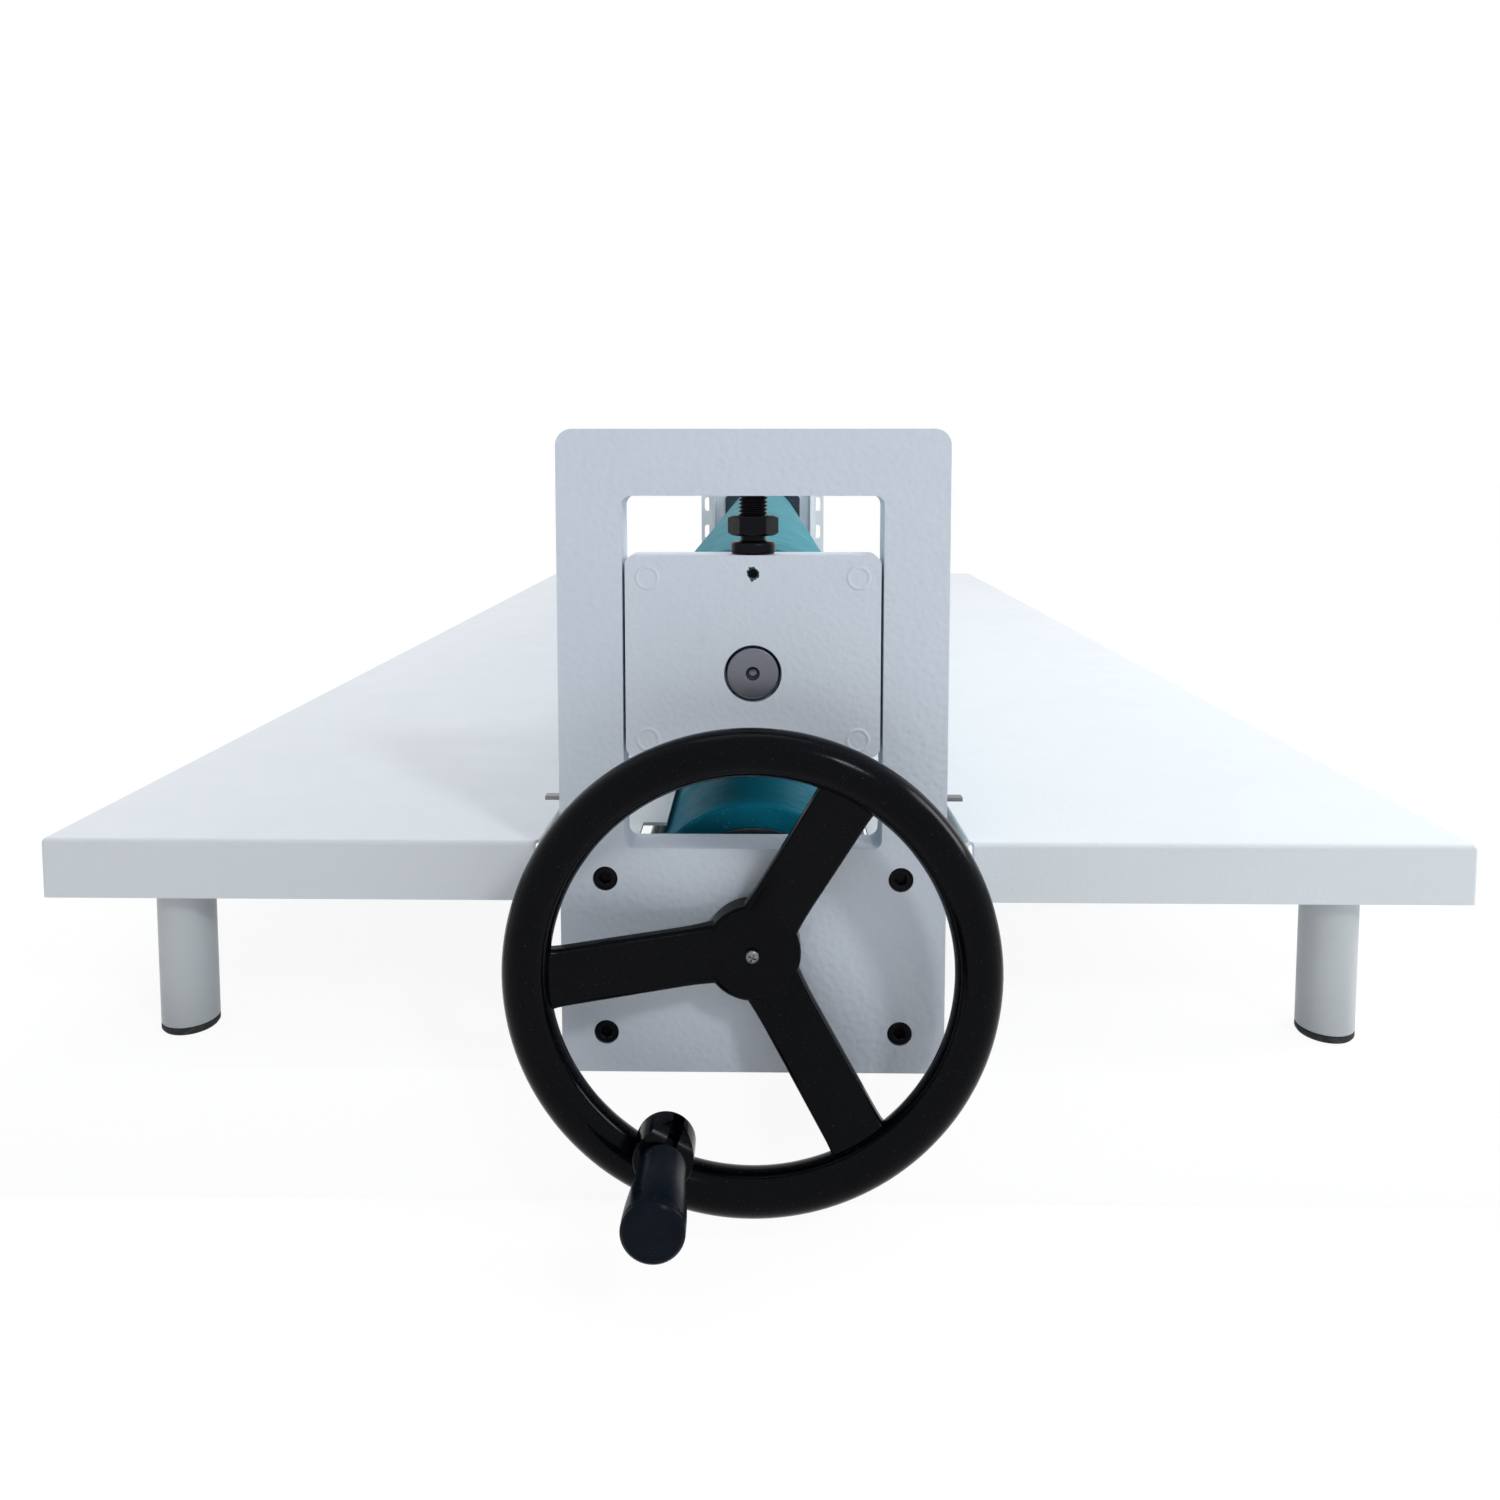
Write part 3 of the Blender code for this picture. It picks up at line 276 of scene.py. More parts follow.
def brushed_steel(name, tone, roughness, stretch, stain=0.22):
    """Drawn or sheet steel with fine lines along one direction."""
    g = Graph(name, roughness, 1.0)
    lines = g.noise(1.0, 4.0, 0.7, g.stretch(stretch))
    base = g.mix(g.ramp(lines, 0.30, 0.70), tuple(c * 0.74 for c in tone), tone)
    old = g.ramp(g.noise(60.0, 5.0, 0.68), 0.50, 0.75)
    g.colour(g.mix(g.maths('MULTIPLY', old, stain), base, (0.16, 0.13, 0.11)))
    g.rough(g.maths('ADD', g.ramp(lines, 0.3, 0.7, roughness - 0.05, roughness + 0.08),
                    g.maths('MULTIPLY', old, 0.16)))
    g.bump(lines, 0.00003, 0.5)
    return g.material


def black_oxide(name, tone, roughness):
    """Blackened steel, slightly brown where the finish is thin and bright on rubbed edges."""
    g = Graph(name, roughness, 0.85, Specular_IOR_Level=0.15)
    thin = g.ramp(g.noise(120.0, 4.0, 0.65), 0.45, 0.75)
    base = g.mix(g.maths('MULTIPLY', thin, 0.3), tone, tuple(c * 1.6 + 0.002 for c in tone))
    rubbed = g.maths('MULTIPLY', g.edges(0.54, 0.66), g.ramp(g.noise(700.0, 3.0), 0.35, 0.65))
    g.colour(g.mix(g.maths('MULTIPLY', rubbed, 0.10), base, (0.16, 0.16, 0.17)))
    g.rough(g.ramp(g.noise(260.0, 4.0, 0.6), 0.25, 0.75, roughness - 0.05, roughness + 0.08))
    g.bump(g.noise(1400.0, 2.0), 0.00004, 0.6)
    return g.material


def moulded_black(name, tone, roughness, level, scuff):
    """Moulded black plastic: soft ripple, hairline scuffs and a trace of dust."""
    g = Graph(name, roughness, 0.0, Specular_IOR_Level=level)
    cloud = g.ramp(g.noise(24.0, 4.0, 0.6), 0.30, 0.72)
    base = g.mix(cloud, tone, tuple(c * 1.5 + 0.0003 for c in tone))
    hair = g.noise(1.0, 3.0, 0.7, g.stretch((90.0, 90.0, 1500.0), rotation=(0.4, 0.9, 0.3)))
    hair = g.maths('MULTIPLY', g.ramp(hair, 0.64, 0.72), g.ramp(g.noise(45.0, 3.0), 0.50, 0.66))
    base = g.mix(g.maths('MULTIPLY', hair, scuff), base, (0.16, 0.17, 0.19))
    dust = g.ramp(g.noise(900.0, 1.0), 0.69, 0.76)
    g.colour(g.mix(g.maths('MULTIPLY', dust, 0.05), base, (0.30, 0.32, 0.35)))
    uneven = g.ramp(g.noise(55.0, 4.0, 0.65), 0.3, 0.75, roughness - 0.05, roughness + 0.09)
    g.rough(g.maths('ADD', uneven, g.maths('MULTIPLY', hair, 0.20)))
    g.bump(g.noise(210.0, 2.0), 0.00008, 0.30)
    return g.material


def pad_rubber(name):
    """Matt black foot rubber with a dusty bloom near the bench."""
    g = Graph(name, 0.78, Specular_IOR_Level=0.35)
    bloom = g.maths('MULTIPLY', g.ramp(g.noise(140.0, 4.0, 0.7), 0.40, 0.70),
                    g.ramp(g.height(), 0.000, 0.010, 0.40, 0.10))
    g.colour(g.mix(bloom, (0.016, 0.016, 0.018), (0.12, 0.115, 0.11)))
    g.rough(g.ramp(g.noise(300.0, 3.0), 0.3, 0.7, 0.68, 0.88))
    g.bump(g.noise(1700.0, 2.0), 0.00008, 0.7)
    return g.material


PLATE_PAINT = powder_coat("plate_paint", (0.745, 0.790, 0.870), (0.710, 0.758, 0.840),
                          620.0, 0.00060, 0.50)
BLOCK_PAINT = powder_coat("block_paint", (0.755, 0.798, 0.875), (0.722, 0.766, 0.845),
                          800.0, 0.00040, 0.48, 0.0, 0.06)
TABLE_PAINT = powder_coat("table_paint", (0.800, 0.832, 0.862), (0.785, 0.816, 0.846),
                          1100.0, 0.00016, 0.40, 0.0, 0.03)
LEG_PAINT = powder_coat("leg_paint", (0.60, 0.63, 0.645), (0.52, 0.55, 0.57),
                        1300.0, 0.00010, 0.42, 0.10, 0.08)
# The lower rubber is the upper roller's rubber painted darker: painted shade for the lower roller
# under the tables.
SHADED_LOWER_RUBBER = rubber("lower_rubber", (0.0035, 0.175, 0.258), (0.0022, 0.115, 0.168), LOWER_Z)
UPPER_RUBBER = rubber("upper_rubber", (0.045, 0.270, 0.330), (0.030, 0.205, 0.255), UPPER_Z)
LOWER_STEEL = turned_steel("lower_turned_steel", (0.060, 0.070, 0.075), LOWER_Z)
UPPER_STEEL = turned_steel("upper_turned_steel", (0.175, 0.180, 0.215), UPPER_Z, 0.36)
# The tie bars' steel is toned dark as painted shade, for the shadow where they show through the
# window.
SHADED_BAR_STEEL = brushed_steel("drawn_bar_painted_shade", (0.10, 0.105, 0.11), 0.30, (260.0, 5.0, 260.0))
CLIP_STEEL = brushed_steel("sheet_clip", (0.22, 0.225, 0.23), 0.34, (12.0, 900.0, 900.0))
# Dark blued steel: the bearing covers' and chipped edges' own colour, and painted shade where it
# dresses the block keepers.
DARK_STEEL_AND_PAINTED_SHADE = brushed_steel("blued_plate_and_painted_shade", (0.045, 0.065, 0.085), 0.40, (20.0, 900.0, 420.0), 0.30)
OXIDE = black_oxide("black_oxide", (0.008, 0.008, 0.010), 0.42)
THREAD_OXIDE = black_oxide("black_oxide_thread", (0.009, 0.009, 0.011), 0.34)
WHEEL_BLACK = moulded_black("gloss_black", (0.0006, 0.0009, 0.0020), 0.15, 0.070, 0.05)
GRIP_BLACK = moulded_black("satin_black", (0.0020, 0.0042, 0.0085), 0.30, 0.06, 0.30)
FOOT_RUBBER = pad_rubber("foot_rubber")


# ---- Mesh helpers ----
def soften(points, steps=4, closed=False):
    """Rounds the corners of a run of (a, b) or (a, b, radius) points."""
    out = []
    count = len(points)
    for i, point in enumerate(points):
        radius = point[2] if len(point) > 2 else 0.0
        here = Vector(point[:2])
        if radius <= 0 or (not closed and i in (0, count - 1)):
            out.append((here.x, here.y))
            continue
        before = Vector(points[i - 1][:2]) - here
        after = Vector(points[(i + 1) % count][:2]) - here
        half = before.angle(after) / 2
        reach = min(radius / math.tan(half), before.length * 0.49, after.length * 0.49)
        start = here + before.normalized() * reach
        end = here + after.normalized() * reach
        size = reach * math.tan(half)
        inwards = (before.normalized() + after.normalized()).normalized()
        centre = here + inwards * (size / math.sin(half))
        sweep = (start - centre).angle_signed(end - centre)
        for k in range(steps + 1):
            turn = Matrix.Rotation(-sweep * k / steps, 2)
            spot = centre + turn @ (start - centre)
            out.append((spot.x, spot.y))
    return out


def skin(bm, rows):
    """Joins rows of vertices, each a closed loop of the same count."""
    count = len(rows[0])
    for one, two in zip(rows, rows[1:]):
        for k in range(count):
            bm.faces.new((one[k], one[(k + 1) % count], two[(k + 1) % count], two[k]))


def finish_mesh(name, bm, angle=32.0):
    bmesh.ops.recalc_face_normals(bm, faces=bm.faces)
    mesh = bpy.data.meshes.new(name)
    bm.to_mesh(mesh)
    bm.free()
    mesh.shade_smooth()
    mesh.set_sharp_from_angle(angle=math.radians(angle))
    return mesh


def place(name, mesh, material=None):
    obj = bpy.data.objects.new(name, mesh)
    SCENE.collection.objects.link(obj)
    if material:
        mesh.materials.append(material)
    return obj


def lathe(name, profile, material=None, centre=(0, 0, 0), axis='Y', steps=96, ring=False,
          angle=32.0):
    """Turns (radius, height) points round an axis. Points on the axis close the ends."""
    bm = bmesh.new()
    rows = []
    for radius, height in profile:
        if radius < 1e-7:
            rows.append([bm.verts.new((0, 0, height))])
        else:
            rows.append([bm.verts.new((radius * math.cos(2 * math.pi * k / steps),
                                       radius * math.sin(2 * math.pi * k / steps), height))
                         for k in range(steps)])
    pairs = list(zip(rows, rows[1:]))
    if ring:
        pairs.append((rows[-1], rows[0]))
    for one, two in pairs:
        for k in range(steps):
            j = (k + 1) % steps
            loop = [one[k % len(one)], one[j % len(one)], two[j % len(two)], two[k % len(two)]]
            corners = list(dict.fromkeys(loop))
            if len(corners) > 2:
                bm.faces.new(corners)
    turn = Matrix.Identity(3) if axis == 'Z' else Matrix(((1, 0, 0), (0, 0, 1), (0, -1, 0)))
    bmesh.ops.transform(bm, matrix=Matrix.Translation(centre) @ turn.to_4x4(), verts=bm.verts)
    return place(name, finish_mesh(name, bm, angle), material)


def rod(radius, ends, centre, steps=96, axis='Y'):
    """A plain cylinder between two heights on an axis, to cut with."""
    low, high = sorted(ends)
    profile = [(0, low), (radius, low), (radius, high), (0, high)]
    return lathe("rod", profile, None, centre, axis, steps)


def slab(name, outline, holes, low, high, material=None, axis='Y'):
    """A flat plate across an axis: an outline of (a, b) points with holes, from low to high."""
    bm = bmesh.new()
    edges = []
    for loop in [outline] + list(holes):
        if axis == 'Y':
            verts = [bm.verts.new((a, low, b)) for a, b in loop]
        else:
            verts = [bm.verts.new((a, b, low)) for a, b in loop]
        edges += [bm.edges.new((verts[i - 1], verts[i])) for i in range(len(verts))]
    made = bmesh.ops.triangle_fill(bm, use_beauty=True, use_dissolve=False, edges=edges)
    faces = [item for item in made["geom"] if isinstance(item, bmesh.types.BMFace)]
    swept = bmesh.ops.extrude_face_region(bm, geom=faces, use_keep_orig=True)
    moved = [item for item in swept["geom"] if isinstance(item, bmesh.types.BMVert)]
    shift = (0, high - low, 0) if axis == 'Y' else (0, 0, high - low)
    bmesh.ops.translate(bm, vec=shift, verts=moved)
    return place(name, finish_mesh(name, bm), material)


def circle(x, z, radius, steps=64):
    turns = [2 * math.pi * k / steps for k in range(steps)]
    return [(x + radius * math.cos(turn), z + radius * math.sin(turn)) for turn in turns]


def rectangle(x0, x1, z0, z1, radius, steps=10):
    return soften([(x0, z0, radius), (x1, z0, radius), (x1, z1, radius), (x0, z1, radius)],
                  steps, True)


def bake(obj, angle=32.0):
    """Applies the object's modifiers to its mesh."""
    graph = bpy.context.evaluated_depsgraph_get()
    mesh = bpy.data.meshes.new_from_object(obj.evaluated_get(graph))
    obj.modifiers.clear()
    obj.data = mesh
    mesh.name = obj.name
    mesh.shade_smooth()
    mesh.set_sharp_from_angle(angle=math.radians(angle))
    return obj


def bevel(obj, width, segments=3, limit=40.0):
    modifier = obj.modifiers.new("edges", 'BEVEL')
    modifier.width = width
    modifier.segments = segments
    modifier.limit_method = 'ANGLE'
    modifier.angle_limit = math.radians(limit)


def even_normals(obj):
    """Lets the large faces set the shading of the rounded edges beside them."""
    obj.modifiers.new("normals", 'WEIGHTED_NORMAL').keep_sharp = True


def carve(obj, *cutters):
    """Cuts these shapes out of a piece and removes them."""
    for cutter in cutters:
        modifier = obj.modifiers.new("cut", 'BOOLEAN')
        modifier.operation = 'DIFFERENCE'
        modifier.object = cutter
        modifier.solver = 'EXACT'
    bake(obj)
    for cutter in cutters:
        bpy.data.objects.remove(cutter, do_unlink=True)
    return obj


def merge(obj, *others):
    """Adds other objects' meshes to one piece."""
    bm = bmesh.new()
    bm.from_mesh(obj.data)
    for other in others:
        bm.from_mesh(other.data)
        bpy.data.objects.remove(other, do_unlink=True)
    mesh = bpy.data.meshes.new(obj.name)
    bm.to_mesh(mesh)
    bm.free()
    for material in obj.data.materials:
        mesh.materials.append(material)
    obj.data = mesh
    return obj


def prism(name, sides, across, low, high, centre, axis='Y', turn=0.0):
    """A regular prism across flats, for sockets and nuts."""
    radius = across / 2 / math.cos(math.pi / sides)
    turns = [turn + 2 * math.pi * k / sides for k in range(sides)]
    points = [(radius * math.cos(at), radius * math.sin(at)) for at in turns]
    item = slab(name, points, [], low, high, None, axis)
    item.data.transform(Matrix.Translation(centre))
    return item


def use(obj, body, slot, *nodes):
    """Fixes a finished piece to its CAD body, in place of these CAD nodes."""
    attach(obj, body)
    if nodes:
        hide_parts(*nodes)
    return obj


def dress(node, material, width):
    """Keeps a CAD node and gives it its material and slightly rounded edges."""
    item = NODES[node]
    item.data.materials.clear()
    item.data.materials.append(material)
    for polygon in item.data.polygons:
        polygon.material_index = 0
    bevel(item, width, 2)
    even_normals(item)


def faces(node, inward):
    """A node's outer and inner y, for the end that lies in this direction from the rollers."""
    low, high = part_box(node)
    return (low.y, high.y) if inward > 0 else (high.y, low.y)


# ---- Frame ----
def end_plate(end, inward):
    node = end + "_end_plate"
    low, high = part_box(node)
    front, back = faces(node, inward)
    top = PLATE_HIGH.z
    holes = [rectangle(-WINDOW_X, WINDOW_X, SILL, WINDOW_TOP, WINDOW_CORNER_R),
             circle(0, LOWER_Z, SHAFT_HOLE_R)]
    plate = slab(end + "_plate", rectangle(low.x, high.x, low.z, high.z, PLATE_CORNER_R, 14), holes,
                 low.y, high.y, PLATE_PAINT)
    bevel(plate, PLATE_EDGE, 3)
    bake(plate)
    cutters = []
    for bolt in ("left_low", "left_high", "right_low", "right_high"):
        spot = middle(f"{end}_{bolt}_tie_bolt")
        centre = (spot.x, 0, spot.z)
        ends = (front - inward * PAST, front + inward * COUNTERBORE_DEPTH)
        cutters.append(rod(COUNTERBORE_R, ends, centre, 48))
        cutters.append(rod(BOLT_HOLE_R, (low.y - PAST, high.y + PAST), centre, 32))
    cutters.append(rod(POCKET_R, (back - inward * POCKET_DEPTH, back + inward * PAST),
                       (0, 0, LOWER_Z)))
    mouth_r = SCREW_HOLE_R + 0.0013
    hole = [(0, WINDOW_TOP - 0.003), (SCREW_HOLE_R, WINDOW_TOP - 0.003),
            (SCREW_HOLE_R, top - 0.0009), (mouth_r, top + 0.0005), (mouth_r, top + 0.003),
            (0, top + 0.003)]
    cutters.append(lathe("screw_hole", hole, None, (0, (low.y + high.y) / 2, 0), 'Z', 48))
    carve(plate, *cutters)
    even_normals(plate)
    use(plate, "frame", "frame_paint", node)


def socket_bolt(end, side, level, inward):
    """Socket-head bolt: rounded head rim and a hexagon with a bevelled mouth."""
    node = "_".join((end, side, level, "tie_bolt"))
    spot = middle(node)
    centre = (spot.x, 0, spot.z)
    face, tip = faces(node, inward)
    head = face + inward * BOLT_HEAD_L
    points = [(0.0, face + inward * 0.0003), (BOLT_R, face + inward * 0.0001),
              (BOLT_HEAD_R, face, 0.0008), (BOLT_HEAD_R, head, 0.0003), (BOLT_R, head),
              (BOLT_R, tip - inward * 0.001, 0.0002), (BOLT_R - 0.0008, tip), (0.0, tip)]
    bolt = lathe(node + "_fine", soften(points, 4), OXIDE, centre, steps=64)
    depth = sorted((face - inward * 0.001, face + inward * 0.0040))
    socket = prism("socket", 6, 0.006, *depth, centre, turn=math.radians(17))
    (back, back_r), (front, front_r) = sorted(((face - inward * 0.0002, 0.0040),
                                               (face + inward * 0.0007, 0.0031)))
    mouth = lathe("mouth", [(0, back), (back_r, back), (front_r, front), (0, front)], None, centre,
                  steps=48)
    carve(bolt, socket, mouth)
    use(bolt, "frame", "black_steel", node)


def tie_bar(side, level):
    node = "_".join((side, level, "tie_bar"))
    low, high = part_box(node)
    spot = middle(node)
    radius = (high.x - low.x) / 2
    points = [(BOLT_HOLE_R, low.y), (radius, low.y, 0.0006), (radius, high.y, 0.0006),
              (BOLT_HOLE_R, high.y)]
    bar = lathe(node + "_fine", soften(points, 3), SHADED_BAR_STEEL, (spot.x, 0, spot.z), steps=56,
                ring=True)
    use(bar, "frame", "bright_steel", node)


# ---- Rollers ----
def roller(level, body, axis_z, cover, steel):
    low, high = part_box(level + "_roller_sleeve")
    points = [(RUBBER_BORE_R, low.y), (ROLLER_R, low.y, 0.0022), (ROLLER_R, high.y, 0.0022),
              (RUBBER_BORE_R, high.y)]
    sleeve = lathe(level + "_rubber", soften(points, 5), cover, (0, 0, axis_z), steps=160,
                   ring=True)
    use(sleeve, body, "roller_rubber", level + "_roller_sleeve")
    points = [(TUBE_BORE_R, low.y), (TUBE_R, low.y, 0.0005), (TUBE_R, high.y, 0.0005),
              (TUBE_BORE_R, high.y)]
    tube = lathe(level + "_tube", soften(points, 3), steel, (0, 0, axis_z), steps=128, ring=True)
    use(tube, body, "bright_steel", level + "_roller_tube")


def journal(level, end, body, axis_z, steel, inward):
    """Roller end disc and its shaft, with a centre-drilled end or the wheel's key seat."""
    node = "_".join((level, end, "journal"))
    outer = faces(node, inward)[0]
    face = faces(level + "_roller_sleeve", inward)[0]
    inner = face + inward * END_DISC_L
    centre = (0, 0, axis_z)
    points = [(0.0, outer), (SHAFT_R, outer, 0.0009), (SHAFT_R, face, 0.0004),
              (END_DISC_R, face, 0.0005), (END_DISC_R, inner), (0.0, inner)]
    shaft = lathe(node + "_fine", soften(points, 4), steel, centre)
    if level == "upper" or end == "far":
        drill = ((0, -0.001), (0.0042, -0.001), (0.0036, 0.0004), (0.0022, 0.0022),
                 (0.0022, 0.0056), (0, 0.0066))
        drill = [(r, outer + inward * depth) for r, depth in drill]
        carve(shaft, lathe("centre_drill", drill, None, centre, steps=64))
    else:
        key_low, key_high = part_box("wheel_key")
        seat = slab("key_seat", rectangle(key_low.x - 0.0002, key_high.x + 0.0002,
                                          key_low.z - 0.0002, key_high.z + 0.004, 0.0003, 2), [],
                    outer - PAST, key_high.y + 0.0003)
        carve(shaft, seat, rod(0.0028, (outer - PAST, outer + 0.014), centre, 32))
    use(shaft, body, "bright_steel", node)


def bearing(end, level, axis_z, body):
    """Sealed ball bearing: two chamfered races with the shields set in between them."""
    node = "_".join((end, level, "bearing"))
    low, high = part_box(node)
    half = [(BEARING_BORE_R, 0.0, BEARING_EDGE), (0.0182, 0.0, 0.0003), (0.0186, 0.0008),
            (0.0232, 0.0008), (0.0236, 0.0, 0.0003), (BEARING_R, 0.0, 0.0009)]
    points = [(r, low.y + inset, *edge) for r, inset, *edge in half]
    points += [(r, high.y - inset, *edge) for r, inset, *edge in reversed(half)]
    steel = LOWER_STEEL if level == "lower" else UPPER_STEEL
    ring = lathe(node + "_fine", soften(points, 3, True), steel, (0, 0, axis_z), steps=80,
                 ring=True)
    use(ring, body, "bright_steel", node)


def bearing_cover(end):
    node = end + "_lower_bearing_cover"
    low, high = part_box(node)
    outer = (high.x - low.x) / 2
    points = [(0.0156, low.y, 0.0003), (outer, low.y, 0.0007), (outer, high.y, 0.0007),
              (0.0156, high.y, 0.0003)]
    cover = lathe(node + "_fine", soften(points, 3, True), DARK_STEEL_AND_PAINTED_SHADE, (0, 0, LOWER_Z), ring=True)
    use(cover, "frame", "dark_steel", node)


# ---- Sliding blocks and press screws ----
def chipped_edge(end, front, grub_z, inward):
    """A ragged ring of bare metal where the paint has come off round the grub screw's hole."""
    count = 40
    ragged = []
    for k in range(count):
        spike = 0.0007 if 8 < k < 15 or 27 < k < 31 else 0.0
        radius = 0.00285 + 0.00085 * random.random() + spike
        turn = 2 * math.pi * k / count
        ragged.append((radius * math.cos(turn), grub_z + radius * math.sin(turn)))
    low, high = sorted((front - inward * 0.00003, front + inward * 0.0004))
    worn = slab(end + "_chipped_edge", ragged, [circle(0, grub_z, 0.00268, count)], low, high,
                DARK_STEEL_AND_PAINTED_SHADE)
    use(worn, "upper_carriage", "dark_steel")


def bearing_block(end, inward):
    """Block with painted-over plugs, a chipped grub-screw hole and the shaft hole."""
    node = end + "_bearing_block"
    low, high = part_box(node)
    front, back = faces(node, inward)
    block = slab(node + "_fine", rectangle(low.x, high.x, low.z, high.z, 0.0050),
                 [circle(0, UPPER_Z, SHAFT_HOLE_R, 96)], low.y, high.y, BLOCK_PAINT)
    bevel(block, 0.0014, 3)
    bake(block)
    grub_z = middle(end + "_grub_screw").z
    y = (low.y + high.y) / 2
    carve(block,
          rod(POCKET_R, (back - inward * POCKET_DEPTH, back + inward * PAST), (0, 0, UPPER_Z), 80),
          rod(0.0027, (front - inward * PAST, y), (0, 0, grub_z), 40),
          rod(0.0063, (high.z - 0.0184, high.z + PAST), (0, y, 0), 48, 'Z'))
    dished = ((0.0, 0.00010), (0.0042, 0.00007), (0.0046, 0.00002), (0.0051, 0.00044),
              (0.0056, 0.00058), (0.0062, 0.00042), (0.0068, 0.00002), (0.0068, -0.0003),
              (0.0, -0.0003))
    profile = [(r, front - inward * proud) for r, proud in dished]
    plugs = [lathe("plug", profile, None, (x, 0, z), steps=56, angle=60)
             for x in (low.x + 0.0120, high.x - 0.0120) for z in (low.z + 0.0093, high.z - 0.0120)]
    merge(block, *plugs)
    even_normals(block)
    use(block, "upper_carriage", "frame_paint", node)
    chipped_edge(end, front, grub_z, inward)


def grub_screw(end, inward):
    node = end + "_grub_screw"
    spot = middle(node)
    centre = (spot.x, 0, spot.z)
    outer, inner = faces(node, inward)
    points = [(0.0, outer), (0.0025, outer, 0.0004), (0.0025, inner, 0.0004), (0.0, inner)]
    screw = lathe(node + "_fine", soften(points, 3), OXIDE, centre, steps=40)
    depth = sorted((outer - inward * 0.001, outer + inward * 0.002))
    carve(screw, prism("grub_socket", 6, 0.0025, *depth, centre))
    use(screw, "upper_carriage", "black_steel", node)


def thread(low, top):
    """A screw thread with a real helix, which runs out at both ends."""
    steps = 64
    profile = ((0.0, THREAD_R), (0.125, THREAD_R), (0.46, THREAD_ROOT_R), (0.665, THREAD_ROOT_R))
    bm = bmesh.new()
    rows = []
    for turn in range(-1, int((top - low) / PITCH) + 2):
        for share, r in profile:
            row = []
            for k in range(steps + 1):
                z = low + (turn + share + k / steps) * PITCH
                lead = min(1.0, max(0.0, (top - z) / 0.0014))
                start = min(1.0, max(0.0, (z - low) / 0.0012))
                radius = THREAD_ROOT_R + (r - THREAD_ROOT_R) * min(lead, start)
                at = 2 * math.pi * k / steps
                row.append(bm.verts.new((radius * math.cos(at), radius * math.sin(at),
                                         min(top, max(low, z)))))
            rows.append(row)
    for one, two in zip(rows, rows[1:]):
        for k in range(steps):
            bm.faces.new((one[k], one[k + 1], two[k + 1], two[k]))
    bmesh.ops.remove_doubles(bm, verts=bm.verts, dist=2e-6)
    bmesh.ops.dissolve_degenerate(bm, edges=bm.edges, dist=1e-6)
    return bm


def press_screw(end):
    """M16 x 2 screw with a necked foot disc and a socket in its top."""
    node = end + "_press_screw"
    low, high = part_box(node)
    y = (low.y + high.y) / 2
    top, foot = high.z, BLOCK_HIGH.z + 0.0003
    neck = foot + 0.0065
    start = neck + 0.0033
    bm = thread(start, top)
    bmesh.ops.translate(bm, vec=(0, y, 0), verts=bm.verts)
    screw = place(node + "_fine", finish_mesh(node + "_fine", bm, 48), THREAD_OXIDE)
    points = [(0.0, start + 0.0008), (0.00725, start + 0.0008), (0.00725, start - 0.0001),
              (0.00690, start - 0.0012), (0.00690, neck + 0.0006), (0.0084, neck, 0.0008),
              (0.0122, neck, 0.0016), (0.0122, foot, 0.0014), (0.0060, foot, 0.0003),
              (0.0060, low.z + 0.0008, 0.0003), (0.0052, low.z), (0.0, low.z)]
    lower = lathe("foot", soften(points, 5), None, (0, y, 0), 'Z')
    wall = slab("socket_wall", circle(0, y, THREAD_ROOT_R + 0.00005, 64),
                [circle(0, y, 0.0052, 6)], top - 0.0090, top, None, 'Z')
    merge(screw, lower, wall, rod(0.00655, (top - 0.0095, top - 0.0088), (0, y, 0), 6, 'Z'))
    screw.data.set_sharp_from_angle(angle=math.radians(40))
    use(screw, end + "_screw", "black_steel", node)


def lock_nut(end):
    """Hexagon nut with the turned 30 degree chamfers that leave curved flats."""
    node = end + "_lock_nut"
    low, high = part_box(node)
    y = middle(node).y
    flat = [-29.1, *range(-27, 28, 3), 29.1]  # degrees from the middle of a flat
    outline = []
    for sector in range(30, 390, 60):
        outline += [(sector + at, NUT_FLATS / 2 / math.cos(math.radians(at))) for at in flat]
        outline.append((sector + 30, NUT_CORNER_R))
    bm = bmesh.new()
    rows = []
    for at, radius in outline:
        drop = (radius - NUT_FACE_R) * math.tan(math.radians(30))
        half = [(SCREW_HOLE_R, 0.0006), (SCREW_HOLE_R + 0.00034, 0.0), (NUT_FACE_R, 0.0),
                (radius, drop)]
        section = [(r, low.z + inset, 0.0003) for r, inset in half]
        section += [(r, high.z - inset, 0.0003) for r, inset in reversed(half)]
        x_share, y_share = math.cos(math.radians(at)), math.sin(math.radians(at))
        rows.append([bm.verts.new((r * x_share, y + r * y_share, z))
                     for r, z in soften(section, 2, True)])
    skin(bm, rows + rows[:1])
    nut = place(node + "_fine", finish_mesh(node + "_fine", bm), OXIDE)
    even_normals(nut)
    use(nut, end + "_nut", "black_steel", node)


